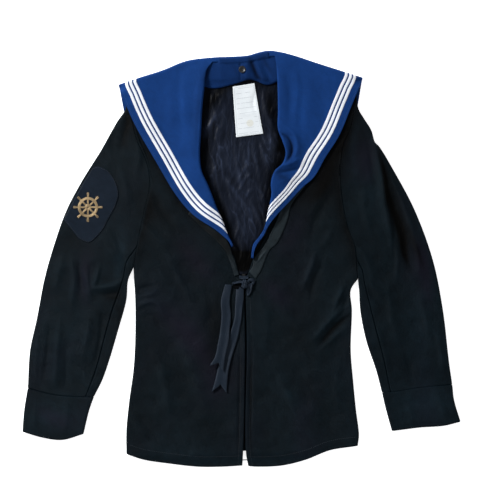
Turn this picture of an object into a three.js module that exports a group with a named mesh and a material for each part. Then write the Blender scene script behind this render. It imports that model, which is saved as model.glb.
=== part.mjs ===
// A sailor jumper laid flat on its back, front up: serge body and two-piece sleeves,
// a deep blue collar with three white tapes, a satin lining, and a black tie ribbon.
// Millimetres. X runs across to the wearer's left sleeve, Y up to the collar, Z up off the floor.

import * as THREE from 'three';

// Thickness of each cloth, and the gaps between layers
const SERGE = 1.8;
const DRILL = 1.6;
const SATIN = 1.0;
const RIBBON = 1.0;
const TAPE = 0.6;
const CUFF_CLOTH = 2.2;
const SEAM = 0.3;
const ARMHOLE_GAP = 0.7;
const LOFT = 2.4;          // air between the under and the top layer
const LOFT_LEAST = 0.6;
const LOFT_MOST = 3.7;

// Collar
const ROLL_RADIUS = 3;     // rolled edge along the opening
const ROLL_RISE = 5;       // the roll stands above the chest
const ROLL_REACH = 45;     // and falls away over this width
const TAPE_INSET = 12;     // first tape from the collar edge
const TAPE_WIDTH = 4.8;
const TAPE_PITCH = 7.4;
const TAPE_COUNT = 3;
const TAPE_LIFT = 0.75;    // the tapes clear the facets of the collar under them
const TAPE_ROOM = 42;      // a narrower fall draws its tapes together
const TAPE_END_ROWS = 2;   // the tapes stop this many rows before the tips
const FLAP_RAMP = 45;      // the back climbs onto the collar's flap over this width
const FLAP_CLEAR = 40;     // and is level this far outside the flap
const CORNER_FADE = 17;    // the fold's two corners are pressed flat over this reach
const FALL_CLEAR = [0.5, 2.6]; // air under a fall, at its top and at its tip
const HUNG_CLEAR = 0.8;    // the rolled edge hangs to this far off the lining
const LIP_DEPTH = 5;       // the fold's lip inside the neck
const HEM_DROP = [3, 20];  // the fronts come down to the floor this far past the back's hem

// Small things
const BUTTON_AT = [1, 322];
const BUTTON_RADIUS = 6;
const BUTTON_THICK = 2.2;
const BUTTON_HOLE = { radius: 0.7, out: 1.3 };
const WHEEL_AT = [-261, 88];
const WHEEL_SPOKES = 8;
const WHEEL_THICK = 1.2;
const KNOT_HALF = [8, 8.6, 3.6];
const KNOT_UP = 3.9;
const ZIP = { from: 0.13, halfWidth: 12, longer: 14, thick: 0.9 };
const SLIDER_SIZE = [5.4, 9, 2.2];
const BAR_SIZE = [10, 1.4, 0.8];
const KNOT_AT = [8, -39];
const SLIDER_AT = [3.7, -30];
const BAR_AT = [6, -342];

// Outlines, each row [across, up], hand set along the edge it names
const TOP_FOLD = [[-209, 297], [-176, 308], [-135, 321], [-94, 335], [-48, 343], [-13, 345],
  [18, 351], [55, 348], [89, 345], [130, 333], [171, 320], [206, 309]];
const LEFT = {
  fallEdge: [[-209, 297], [-201, 274], [-181, 228], [-145, 165], [-110, 107], [-82, 75],
    [-42, 48], [-28, 36], [-21, 29], [-17, 20]],
  roll: [[-48, 343], [-59, 323], [-63, 294], [-67, 255], [-69, 216], [-71, 177], [-68, 151],
    [-59, 131], [-50, 109], [-44, 93], [-38, 79], [-32, 65], [-26, 48], [-21, 37], [-17, 30],
    [-14, 23]],
  flapSide: [[-209, 297], [-200, 250], [-191, 58]],
  side: [[-196, -332], [-196, -291], [-191, -240], [-184, -189], [-181, -138], [-181, -70],
    [-183, -36], [-184, -15]],
  armhole: [[-184, -15], [-176, 32], [-166, 80], [-156, 131], [-162, 168], [-177, 202],
    [-188, 245], [-193, 282]],
  hem: [[-196, -332], [-166, -342], [-128, -348], [-74, -354], [-33, -354], [1.5, -352]],
  shoulder: [[-193, 282], [-150, 306], [-94, 327], [-62, 332]],
  slit: [[1.5, -352], [2.5, -334], [4, -300], [5.5, -224], [6.5, -148], [4.5, -70], [2, -42]],
  neckline: [[2, -42], [-5, -22], [-12, 3], [-23, 22], [-32, 42], [-41, 62], [-55, 101],
    [-65, 122], [-75, 150], [-78, 177], [-76, 216], [-74, 255], [-70, 294], [-62, 332]],
  sleeveOuter: [[-364, -220], [-360, -155], [-349, -104], [-336, -36], [-322, 15], [-298, 83],
    [-271, 134], [-239, 185], [-220, 219], [-210, 236], [-198, 254], [-193, 282]],
  sleeveInner: [[-251, -234], [-237, -206], [-225, -172], [-210, -121], [-196, -70],
    [-193, -36], [-184, -15]],
  cuffSeam: [[-364, -220], [-323, -230], [-290, -234], [-251, -234]],
  cuffOuter: [[-373, -294], [-370, -257], [-364, -220]],
  cuffInner: [[-269, -298], [-259, -257], [-251, -234]],
  cuffEnd: [[-373, -294], [-339, -304], [-305, -308], [-269, -298]],
  facingOuter: [[-12, -30], [-16, -15], [-21, -1], [-26, 11], [-36, 24], [-50, 38], [-67, 53],
    [-81, 67], [-91, 76]],
  facingInner: [[-4, -27], [-7, -19], [-11, -4], [-16, 8], [-18, 18], [-25, 33], [-39, 46],
    [-57, 58], [-75, 71], [-87, 82]],
};
const RIGHT = {
  fallEdge: [[206, 309], [200, 292], [186, 258], [166, 210], [142, 172], [123, 139],
    [104, 122], [80, 96], [60, 75], [45, 55], [37, 39], [27, 26], [22, 15], [20, 1]],
  roll: [[55, 348], [58, 331], [61, 302], [62, 255], [62, 221], [69, 203], [75, 182],
    [70, 164], [56, 150], [50, 130], [51, 112], [45, 80], [41, 60], [37, 49], [30, 38], [21, 27],
    [18, 17], [16.5, 2]],
  flapSide: [[206, 309], [196, 250], [187, 58]],
  side: [[198, -318], [200, -299], [195, -257], [190, -206], [186, -155], [188, -87],
    [186, -53], [198, -34]],
  armhole: [[198, -34], [193, 22], [180, 59], [172, 100], [169, 144], [173, 192], [186, 223],
    [195, 284]],
  hem: [[198, -318], [150, -326], [110, -342], [69, -352], [28, -354], [11.5, -353]],
  shoulder: [[195, 284], [150, 316], [100, 333], [64, 335]],
  slit: [[11.5, -353], [8, -334], [6.5, -300], [7.5, -224], [9, -148], [7, -70], [5, -42]],
  neckline: [[5, -42], [12, -22], [21, 3], [31, 22], [44, 49], [54, 85], [64, 125], [75, 150],
    [83, 180], [76, 212], [70, 250], [69, 296], [64, 335]],
  sleeveOuter: [[359, -214], [353, -172], [343, -87], [326, -2], [295, 83], [259, 151],
    [227, 201], [210, 236], [199, 256], [195, 284]],
  sleeveInner: [[239, -227], [229, -189], [212, -138], [202, -87], [200, -53], [198, -34]],
  cuffSeam: [[359, -214], [302, -219], [266, -225], [239, -227]],
  cuffOuter: [[373, -277], [362, -240], [359, -214]],
  cuffInner: [[256, -293], [246, -257], [239, -227]],
  cuffEnd: [[373, -277], [344, -284], [303, -287], [256, -293]],
  facingOuter: [[24, -34], [33, -20], [47, 14], [61, 28], [79, 69], [84, 91], [108, 124]],
  facingInner: [[13, -22], [19, -12], [22, 3], [38, 22], [58, 62], [68, 88], [95, 126]],
};
const BACK_NECK = [[-193, 282], [-150, 306], [-94, 327], [-62, 332], [0, 336], [64, 335],
  [100, 333], [150, 316], [195, 284]];
const BACK_HEM = [[-196, -332], [-100, -331], [0, -327], [100, -322], [198, -318]];
const LINING = {
  left: [[-9, -26.5], [-28, 6], [-48, 45], [-70, 100], [-88, 145], [-92, 185], [-86, 260],
    [-58, 330]],
  right: [[13, -26.5], [34, 6], [60, 45], [76, 95], [92, 145], [98, 190], [86, 260], [60, 331]],
  bottom: [[-9, -26.5], [2, -27], [13, -26.5]],
  top: [[-58, 330], [0, 333], [60, 331]],
};
const BAND = {
  left: [[-60, 293], [-60, 305], [-57, 322], [-46, 334]],
  right: [[58.5, 301], [57, 318], [55, 330], [53, 339]],
  bottom: [[-60, 293], [-46, 290], [-14, 297], [22, 303], [43, 297], [58.5, 301]],
  top: [[-46, 334], [-13, 336], [20, 341], [53, 339]],
};
const LABEL = {
  left: [[-9, 207], [-15, 293]],
  right: [[37, 213], [32, 240], [22, 299]],
  bottom: [[-9, 207], [37, 213]],
  top: [[-15, 293], [22, 299]],
};
const TAIL_FRONT = {
  left: [[-29, -50], [-35, -71], [-34, -96], [-36, -120], [-41, -148], [-45, -166], [-52, -184]],
  right: [[-16, -50], [-20, -71], [-18, -96], [-20, -120], [-22, -142], [-27, -163], [-31, -192]],
};
const TAIL_BACK = {
  left: [[-1, -52], [-9, -64], [-11, -80], [-12, -100], [-20, -128], [-32, -160], [-40, -185],
    [-45, -207], [-50, -226]],
  right: [[6, -52], [4, -64], [2, -80], [-1, -108], [-7, -136], [-17, -168], [-22, -190],
    [-24, -207], [-25, -228]],
};
const LOOP = {
  left: [[-18, -43], [-10, -41], [-2, -39.5]],
  right: [[-18, -38], [-10, -36.5], [-2, -34.5]],
};
const STUB = {
  left: [[10, -61], [11, -54], [12, -49]],
  right: [[16, -63], [19, -54], [19, -46]],
};
const PATCH = {
  left: [[-299, 58], [-284, 84], [-262, 118], [-245, 150]],
  right: [[-267, 34], [-236, 56], [-212, 98], [-220, 133]],
  bottom: [[-299, 58], [-286, 42], [-267, 34]],
  top: [[-245, 150], [-232, 152], [-220, 133]],
};

// The main folds of the top layers, from one end to the other, with half width and height
const FOLDS = [
  // x1, y1, x2, y2, half width, height
  [135, -144, 171, -105, 11, -1.4],
  [171, -105, 188, -94, 9, -1.2],
  [126, -130, 166, -86, 13, 1.2],
  [171, -92, 182, -58, 9, -0.9],
  [128, 14, 104, -51, 12, 1.0],
  [-175, -63, -139, -54, 11, 1.1],
  [-120, -20, -84, -78, 16, 0.8],
  [60, -190, 92, -262, 18, 0.8],
  [-278, -15, -275, -55, 11, -1.2],
  [-310, -100, -318, -205, 12, 1.2],
  [-241, -15, -251, -46, 10, 1.1],
  [-234, -62, -204, -58, 13, -1.6],
  [227, 199, 240, 133, 11, 1.3],
  [240, 133, 255, 31, 11, 1.3],
  [255, 102, 276, 26, 11, -1.6],
  [276, 26, 284, -20, 11, -1.4],
  [300, -60, 322, -140, 14, 1.0],
];

// Creases of the lining that shows in the opening
const LINING_FOLDS = [
  [-64, 216, -40, 250, 9, 1.6],
  [-30, 142, 16, 80, 9, 1.4],
  [16, 97, 40, 46, 8, 1.2],
  [-50, 180, -36, 120, 8, 1.0],
  [24, 190, 44, 150, 9, 1.2],
];

const MATERIALS = {
  serge: new THREE.MeshStandardMaterial({ color: 0x161c24, roughness: 0.85, metalness: 0 }),
  collar_blue: new THREE.MeshStandardMaterial({ color: 0x1b3a78, roughness: 0.8, metalness: 0 }),
  tape_white: new THREE.MeshStandardMaterial({ color: 0xf0f0f5, roughness: 0.75, metalness: 0 }),
  lining: new THREE.MeshStandardMaterial({ color: 0x171c28, roughness: 0.4, metalness: 0 }),
  facing: new THREE.MeshStandardMaterial({ color: 0x2a3137, roughness: 0.6, metalness: 0 }),
  ribbon: new THREE.MeshStandardMaterial({ color: 0x1d2733, roughness: 0.5, metalness: 0 }),
  label: new THREE.MeshStandardMaterial({ color: 0xdbdfe0, roughness: 0.8, metalness: 0 }),
  patch: new THREE.MeshStandardMaterial({ color: 0x1e2637, roughness: 0.9, metalness: 0 }),
  wire: new THREE.MeshStandardMaterial({ color: 0x8a7758, roughness: 0.45, metalness: 0.6 }),
  button: new THREE.MeshStandardMaterial({ color: 0x101114, roughness: 0.35, metalness: 0 }),
  zip: new THREE.MeshStandardMaterial({ color: 0x121519, roughness: 0.6, metalness: 0 }),
};

const garment = new THREE.Group();

function add(name, slot, geometry) {
  const mesh = new THREE.Mesh(geometry, MATERIALS[slot]);
  mesh.name = name;
  garment.add(mesh);
}

// Curves and patches in plan

const { lerp, clamp, smoothstep } = THREE.MathUtils;

function splineOf(points) {
  const path = points.map(([x, y]) => new THREE.Vector3(x, y, 0));
  const spline = new THREE.CatmullRomCurve3(path, false, 'centripetal');
  spline.arcLengthDivisions = 400;
  return spline;
}

function curve(points) {
  const spline = splineOf(points);
  return (t) => {
    const { x, y } = spline.getPointAt(clamp(t, 0, 1));
    return [x, y];
  };
}

function reversed(line) {
  return (t) => line(1 - t);
}

// Two curves end to end, each on half of the run
function chained(lower, upper) {
  return (t) => (t < 0.5 ? lower(2 * t) : upper(2 * t - 1));
}

function between(a, b, t) {
  return a.map((value, axis) => lerp(value, b[axis], t));
}

// A patch spans four edge curves: u goes across, v goes along
function patch(left, right, bottom, top) {
  return (u, v) => {
    const sides = between(left(v), right(v), u);
    const ends = between(bottom(u), top(u), v);
    const corners = between(between(bottom(0), bottom(1), u), between(top(0), top(1), u), v);
    return sides.map((value, axis) => value + ends[axis] - corners[axis]);
  };
}

function strip(left, right) {
  return (u, v) => between(left(v), right(v), u);
}

function spanAt(plan, v) {
  const [x0, y0] = plan(0, v);
  const [x1, y1] = plan(1, v);
  return Math.hypot(x1 - x0, y1 - y0);
}

// The other column's value, read off a table of points by straight lines
function alongTable(table, column, value) {
  let row = 0;
  const isBefore = (k) => (table[k][column] - value) * (table[0][column] - value) > 0;
  while (row < table.length - 2 && isBefore(row + 1)) row += 1;
  const [from, to] = [table[row], table[row + 1]];
  const share = clamp((value - from[column]) / (to[column] - from[column]), 0, 1);
  return lerp(from[1 - column], to[1 - column], share);
}

// Heights off the floor

// The under layers lie on the floor, and climb onto the collar's back flap
function ground(x, y) {
  const inside = Math.min(
    x - alongTable(LEFT.flapSide, 1, y),
    alongTable(RIGHT.flapSide, 1, y) - x,
    y - LEFT.flapSide.at(-1)[1],
  );
  return (DRILL + SEAM) * smoothstep(inside, -FLAP_RAMP - FLAP_CLEAR, -FLAP_CLEAR);
}

function foldHeight(folds, x, y) {
  let height = 0;
  for (const [x1, y1, x2, y2, halfWidth, rise] of folds) {
    const [dx, dy] = [x2 - x1, y2 - y1];
    const share = clamp(((x - x1) * dx + (y - y1) * dy) / (dx * dx + dy * dy), 0, 1);
    const away = Math.hypot(x - x1 - share * dx, y - y1 - share * dy) / halfWidth;
    height += rise * Math.exp(-away * away);
  }
  return height;
}

function loft(x, y) {
  return clamp(LOFT + foldHeight(FOLDS, x, y), LOFT_LEAST, LOFT_MOST);
}

// Past the back's shorter hem the fronts come down to the floor
function hemDrop(x, y) {
  const past = alongTable(BACK_HEM, 0, x) - y;
  return smoothstep(past, ...HEM_DROP) * (SERGE + loft(x, y) - SEAM);
}

function chestTop(x, y) {
  return ground(x, y) + 2 * SERGE + loft(x, y) - hemDrop(x, y);
}

// Level of the flat lining's upper face
function liningFloor(x, y) {
  return ground(x, y) + SERGE + SEAM + SATIN;
}

// Closed walls

// A wall between an outer and an inner grid of points, closed round its rim.
// Columns run across and rows along; a wall that wraps has no side rims.
function wall(columns, rows, outer, inner, { live = () => true, wraps = false } = {}) {
  const positions = [];
  const index = [];
  const numbers = new Map();
  const number = (side, i, j) => {
    const column = wraps ? i % columns : i;
    const key = `${side},${column},${j}`;
    if (!numbers.has(key)) {
      numbers.set(key, positions.length / 3);
      positions.push(...(side ? inner : outer)(column, j));
    }
    return numbers.get(key);
  };
  const quad = (a, b, c, d) => index.push(a, b, c, a, c, d);
  const isLive = (i, j) => {
    if (j < 0 || j >= rows) return false;
    if (wraps) return true;
    return i >= 0 && i < columns && live(i, j);
  };
  for (let i = 0; i < columns; i += 1) {
    for (let j = 0; j < rows; j += 1) {
      if (!isLive(i, j)) continue;
      const o = [number(0, i, j), number(0, i + 1, j), number(0, i + 1, j + 1), number(0, i, j + 1)];
      const n = [number(1, i, j), number(1, i + 1, j), number(1, i + 1, j + 1), number(1, i, j + 1)];
      quad(o[0], o[1], o[2], o[3]);
      quad(n[3], n[2], n[1], n[0]);
      if (!isLive(i, j - 1)) quad(o[1], o[0], n[0], n[1]);
      if (!isLive(i, j + 1)) quad(o[3], o[2], n[2], n[3]);
      if (!isLive(i - 1, j)) quad(o[0], o[3], n[3], n[0]);
      if (!isLive(i + 1, j)) quad(o[2], o[1], n[1], n[2]);
    }
  }
  return facingOut(positions, index);
}

function facingOut(positions, index) {
  const corner = (k) => new THREE.Vector3().fromArray(positions, 3 * index[k]);
  let volume = 0;
  for (let k = 0; k < index.length; k += 3) {
    volume += corner(k).dot(corner(k + 1).cross(corner(k + 2)));
  }
  if (volume < 0) index.reverse();
  const geometry = new THREE.BufferGeometry();
  geometry.setAttribute('position', new THREE.Float32BufferAttribute(positions, 3));
  geometry.setIndex(index);
  geometry.computeVertexNormals();
  return geometry;
}

// Flat tubes: body and sleeves

// One point of a flat tube. A column at a folded edge turns round it from -90, under,
// to 90, on top; depth goes in from the outer face. Where the edge is cut and not
// folded, roundness is 0.
function tubePoint(plan, column, v, depth, { roundness = 1, cloth = SERGE, low = () => 0 } = {}) {
  const half = cloth + loft(...plan(column.u, v)) / 2;
  const turn = THREE.MathUtils.degToRad(column.turn);
  let u = column.u + (column.shift ?? 0) / spanAt(plan, v);
  if (column.folded) {
    const inset = (half - (half - depth * roundness) * Math.cos(turn)) / spanAt(plan, v);
    u = u === 0 ? inset : 1 - inset;
  }
  const [x, y] = plan(u, v);
  const rise = lerp(Math.sign(column.turn), Math.sin(turn), roundness);
  return [x, y, ground(x, y) + half + (half - depth) * rise - low(x, y)];
}

const EDGE_TURNS = [3, 45, 90];
const ACROSS_SLEEVE = 8;
const SLEEVE_BOW = 16;

function edgeColumns(u, turns) {
  return turns.map((turn) => ({ u, turn, folded: true }));
}

function flatColumns(from, to, steps, turn) {
  const columns = [];
  for (let k = 0; k <= steps; k += 1) columns.push({ u: lerp(from, to, k / steps), turn });
  return columns;
}

// Rows along a panel: even ones up to the underarm, then the sleeve's own columns,
// so that the two sides of the armhole seam match
function panelRows(lowerRows, armholeLength) {
  const rows = [];
  for (let k = 0; k < lowerRows; k += 1) rows.push(k / lowerRows / 2);
  const half = SERGE + LOFT / 2;
  const edge = [0, half * (1 - Math.SQRT1_2), half].map((mm) => mm / armholeLength);
  const middle = [];
  for (let k = 1; k < ACROSS_SLEEVE; k += 1) middle.push(k / ACROSS_SLEEVE);
  const across = [...edge, ...middle, ...edge.map((share) => 1 - share).reverse()];
  rows.push(...across.map((share) => 0.5 + share / 2));
  return rows;
}

function lengthOf(points) {
  return splineOf(points).getLength();
}

function sideOf(half) {
  return chained(curve(half.side), curve(half.armhole));
}

function roundAt(v) {
  return 1 - smoothstep(v, 0.492, 0.5);
}

function addFront(name, half) {
  const inner = chained(curve(half.slit), curve(half.neckline));
  const plan = patch(sideOf(half), inner, curve(half.hem), curve(half.shoulder));
  const rows = panelRows(10, lengthOf(half.armhole));
  const columns = [...edgeColumns(0, EDGE_TURNS), ...flatColumns(0.09, 1, 9, 90)];
  const point = (depth) => (i, j) => {
    const v = rows[j];
    return tubePoint(plan, columns[i], v, depth, { roundness: roundAt(v), low: hemDrop });
  };
  add(name, 'serge', wall(columns.length - 1, rows.length - 1, point(0), point(SERGE)));
}

function addBack() {
  const plan = patch(sideOf(LEFT), sideOf(RIGHT), curve(BACK_HEM), curve(BACK_NECK));
  const rows = panelRows(8, lengthOf(LEFT.armhole));
  const turns = EDGE_TURNS.map((turn) => -turn);
  const columns = [
    ...edgeColumns(0, turns), ...flatColumns(0.06, 0.94, 12, -90), ...edgeColumns(1, turns).reverse(),
  ];
  const point = (depth) => (i, j) => {
    const v = rows[j];
    return tubePoint(plan, columns[i], v, depth, { roundness: roundAt(v) });
  };
  add('back', 'serge', wall(columns.length - 1, rows.length - 1, point(0), point(SERGE)));
}

// Sleeve columns go round the tube; each of its two pieces takes a stretch of them
function addSleeve(name, half, away) {
  const armhole = curve(half.armhole);
  const end = reversed((t) => {
    const [x, y] = armhole(t);
    return [x + away * ARMHOLE_GAP, y];
  });
  const closeTo = (line, target) => (t) => between(line(t), target(t), smoothstep(t, 0.94, 1));
  const shifted = (line) => (t) => [line(t)[0] + away * ARMHOLE_GAP, line(t)[1]];
  const outer = curve(half.sleeveOuter);
  const inner = curve(half.sleeveInner);
  const flat = patch(
    closeTo(outer, shifted(outer)), closeTo(inner, shifted(inner)), curve(half.cuffSeam), end,
  );
  // The stations bow out from the armhole, so that none crosses it
  const plan = (u, v) => {
    const [x, y] = flat(u, v);
    const bow = Math.sin(Math.PI * u) * smoothstep(1 - v, 0, 0.12) * smoothstep(v, 0, 0.7);
    return [x + away * SLEEVE_BOW * bow, y];
  };
  const steps = 15;
  const seamAt = (ACROSS_SLEEVE - 1) / ACROSS_SLEEVE;
  const parts = {
    top: [
      ...edgeColumns(0, EDGE_TURNS),
      ...flatColumns(1 / ACROSS_SLEEVE, 1 - 2 / ACROSS_SLEEVE, ACROSS_SLEEVE - 3, 90),
      { u: seamAt, turn: 90, shift: -1.5 * SEAM },
    ],
    under: [
      { u: seamAt, turn: 90, shift: 1.5 * SEAM }, ...edgeColumns(1, [90, 45, 0, -45, -90]),
      ...flatColumns(seamAt, 1 / ACROSS_SLEEVE, ACROSS_SLEEVE - 2, -90),
      ...edgeColumns(0, EDGE_TURNS.map((turn) => -turn)).reverse(),
    ],
  };
  for (const [part, columns] of Object.entries(parts)) {
    const point = (depth) => (i, j) => tubePoint(plan, columns[i], j / steps, depth);
    add(`${name}_${part}`, 'serge', wall(columns.length - 1, steps, point(0), point(SERGE)));
  }
}

function addCuff(name, half) {
  const plan = patch(curve(half.cuffOuter), curve(half.cuffInner), curve(half.cuffEnd), curve(half.cuffSeam));
  const across = 6;
  const turns = [-90, -45, 0, 45];
  const columns = [
    ...edgeColumns(0, turns), { u: 0, turn: 90, folded: true },
    ...flatColumns(1 / across, 1 - 1 / across, across - 2, 90),
    { u: 1, turn: 90, folded: true }, ...edgeColumns(1, turns).reverse(),
    ...flatColumns(1 - 1 / across, 1 / across, across - 2, -90),
  ];
  const steps = 4;
  const reach = 0.992;
  const point = (depth) => (i, j) => (
    tubePoint(plan, columns[i], reach * j / steps, depth, { cloth: CUFF_CLOTH })
  );
  add(name, 'serge', wall(columns.length, steps, point(0), point(CUFF_CLOTH), { wraps: true }));
}

// Pieces that lie on a surface, from its height plus a lift
function addLaid(name, slot, plan, columns, rows, thick, height) {
  const point = (up) => (i, j) => {
    const [x, y] = plan(i / columns, j / rows);
    return [x, y, height(x, y, i / columns, j / rows) + up];
  };
  add(name, slot, wall(columns, rows, point(thick), point(0)));
}

// Collar

const CORNERS = [TOP_FOLD[0], TOP_FOLD.at(-1)];

// Height of the collar's upper face on the chest and shoulders
function fallTop(x, y, t) {
  const nearest = Math.min(...CORNERS.map(([cx, cy]) => Math.hypot(x - cx, y - cy)));
  const lifted = chestTop(x, y) + lerp(...FALL_CLEAR, smoothstep(t, 0.3, 0.6)) + DRILL;
  return lerp(2 * DRILL + 2 * SEAM, lifted, smoothstep(nearest, 0, CORNER_FADE));
}

function rollRise(t) {
  return ROLL_RISE * smoothstep(t, 0.02, 0.16) * (1 - 0.6 * smoothstep(t, 0.7, 1));
}

const TAPE_EDGES = [];
for (let k = 0; k < TAPE_COUNT; k += 1) {
  TAPE_EDGES.push(TAPE_INSET + k * TAPE_PITCH, TAPE_INSET + k * TAPE_PITCH + TAPE_WIDTH);
}
const FALL_STEPS = 3;             // columns between the tapes and the roll
const LEG_COLUMNS = 1 + TAPE_EDGES.length + FALL_STEPS;
const RETURN_COLUMNS = 3;         // columns that turn over the roll and down
const RETURN_SHARE = 0.012;       // each takes this share of the top fold
const ROLL_SHARE = 0.3;           // a narrow fall's roll takes this share of its width
const LEAST_ROLL = 0.4;
const START_REACH = 0.08;         // the falls leave the fold over this share of their length
const NECK_COLUMNS = 5;
const FLAP_ROWS = 3;
const ARC_ROWS = 4;
const LEG_ROWS = 15;
const LEG_CROWDING = 1.2;         // rows are closer together at the top
const LIP_ROWS = 1;

function addCollar() {
  const topFold = curve(TOP_FOLD);
  const neckLeft = closestShare(topFold, LEFT.roll[0]);
  const neckRight = closestShare(topFold, RIGHT.roll[0]);
  const legs = [
    { edge: curve(LEFT.fallEdge), roll: curve(LEFT.roll), top: (u) => topFold(u * neckLeft) },
    { edge: curve(RIGHT.fallEdge), roll: curve(RIGHT.roll), top: (u) => topFold(1 - u * (1 - neckRight)) },
  ];
  for (const leg of legs) {
    leg.tip = strip(() => leg.edge(1), () => leg.roll(1));
    leg.plan = patch(leg.edge, leg.roll, leg.top, (u) => leg.tip(u, 1));
  }
  // Where each column lies across a leg, as a share from its edge to its roll
  const shareAt = (plan, column, t) => {
    const span = spanAt(plan, t);
    const draw = Math.min(1, span / TAPE_ROOM);
    if (column === 0) return 0;
    if (column <= TAPE_EDGES.length) return TAPE_EDGES[column - 1] * draw / span;
    const from = TAPE_EDGES.at(-1) * draw / span;
    const to = 1 - Math.min(ROLL_RADIUS, span * ROLL_SHARE) / span;
    return lerp(from, to, (column - TAPE_EDGES.length) / FALL_STEPS);
  };
  const sideColumns = LEG_COLUMNS - 1 + RETURN_COLUMNS;
  const columns = 2 * sideColumns + NECK_COLUMNS;
  const rows = FLAP_ROWS + ARC_ROWS + LEG_ROWS;
  const foldRow = FLAP_ROWS + ARC_ROWS;

  // Share along the top fold for a column of the flap
  const acrossTop = (i) => {
    const mirrored = i > columns / 2;
    const k = mirrored ? columns - i : i;
    const neck = mirrored ? 1 - neckRight : neckLeft;
    const leg = legs[mirrored ? 1 : 0];
    let share;
    if (k < LEG_COLUMNS) share = neck * shareAt(leg.plan, k, 0);
    else if (k <= sideColumns) share = neck + RETURN_SHARE * (k - LEG_COLUMNS + 1);
    else {
      const from = neck + RETURN_SHARE * RETURN_COLUMNS;
      share = lerp(from, 1 - from, (k - sideColumns) / NECK_COLUMNS);
    }
    return mirrored ? 1 - share : share;
  };
  const foldRadius = (x, y) => fallTop(x, y, 0) / 2;
  const flapPoint = (fx, fy, down, depth) => {
    const y = lerp(fy, LEFT.flapSide.at(-1)[1], down);
    const across = (fx - TOP_FOLD[0][0]) / (TOP_FOLD.at(-1)[0] - TOP_FOLD[0][0]);
    const x = lerp(alongTable(LEFT.flapSide, 1, y), alongTable(RIGHT.flapSide, 1, y), across);
    return [x, y, depth];
  };
  const point = (depth) => (i, j) => {
    const [fx, fy] = topFold(acrossTop(i));
    const radius = foldRadius(fx, fy - LIP_DEPTH);
    if (j < FLAP_ROWS) return flapPoint(fx, fy - radius, 1 - j / FLAP_ROWS, depth);
    if (j <= foldRow) {
      const turn = Math.PI * ((j - FLAP_ROWS) / ARC_ROWS - 0.5);
      const r = radius - depth;
      return [fx, fy - radius + r * Math.cos(turn), radius + r * Math.sin(turn)];
    }
    const step = j - foldRow;
    const mirrored = i > columns / 2;
    const leg = legs[mirrored ? 1 : 0];
    const k = mirrored ? columns - i : i;
    if (k > sideColumns) return [fx, fy - radius - LIP_DEPTH, 2 * radius - depth];
    const t = (step / LEG_ROWS) ** LEG_CROWDING;
    const start = 1 - smoothstep(t, 0, START_REACH);
    const span = spanAt(leg.plan, t);
    const rollRadius = Math.min(ROLL_RADIUS, span * ROLL_SHARE);
    if (k < LEG_COLUMNS) {
      const [x, y] = leg.plan(shareAt(leg.plan, k, t), t);
      const away = (1 - shareAt(leg.plan, k, t)) * span;
      const rise = rollRise(t) * (1 - smoothstep(away, ROLL_RADIUS, ROLL_REACH));
      return [x, y - start * radius, fallTop(x, y, t) + rise - depth];
    }
    // The roll turns down into the opening, and hangs to the lining
    const [x, y] = leg.plan(1 - rollRadius / span, t);
    const top = fallTop(x, y, t) + rollRise(t);
    const turn = Math.min(k - LEG_COLUMNS + 1, 2) * Math.PI / 4;
    const r = rollRadius - depth * Math.min(1, rollRadius / ROLL_RADIUS + 0.2);
    const out = Math.max(r, LEAST_ROLL) * Math.sin(turn);
    const hung = k < sideColumns
      ? top - rollRadius + Math.max(r, LEAST_ROLL) * Math.cos(turn)
      : Math.min(liningFloor(x, y) + HUNG_CLEAR, top - rollRadius - HUNG_CLEAR);
    const z = lerp(top - depth, hung, smoothstep(t, 0.07, 0.2));
    const towards = mirrored ? -1 : 1;
    return [x + towards * out, y - start * radius, z];
  };
  const live = (i, j) => {
    if (j < foldRow + LIP_ROWS) return true;
    return i < sideColumns || i >= columns - sideColumns;
  };
  add('collar', 'collar_blue', wall(columns, rows, point(0), point(DRILL), { live }));

  // Tapes lie on the collar's own columns and rows, from the fold to the tips
  const outer = point(0);
  const normalLift = (i, j, up) => {
    const p = new THREE.Vector3(...outer(i, j));
    const step = (a, b) => new THREE.Vector3(...outer(...b)).sub(new THREE.Vector3(...outer(...a)));
    const along = step([i, j - 1], [i, Math.min(j + 1, rows)]);
    const normal = step([i - 1, j], [i + 1, j]).cross(along).normalize();
    if (normal.z + normal.y < 0) normal.negate();
    return p.addScaledVector(normal, up).toArray();
  };
  for (const sideName of ['left', 'right']) {
    for (let k = 0; k < TAPE_COUNT; k += 1) {
      const column = (i) => (sideName === 'left' ? 1 + 2 * k + i : columns - 2 - 2 * k + i);
      const startRow = FLAP_ROWS + 2;
      const lifted = (up) => (i, j) => normalLift(column(i), startRow + j, up);
      add(`collar_tape_${sideName}_${k + 1}`, 'tape_white',
        wall(1, rows - TAPE_END_ROWS - startRow, lifted(TAPE_LIFT + TAPE), lifted(TAPE_LIFT)));
    }
  }
}

function closestShare(line, [x, y]) {
  let best = 0;
  let least = Infinity;
  for (let k = 0; k <= 1000; k += 1) {
    const [px, py] = line(k / 1000);
    const away = Math.hypot(px - x, py - y);
    if (away < least) [best, least] = [k / 1000, away];
  }
  return best;
}

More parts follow.
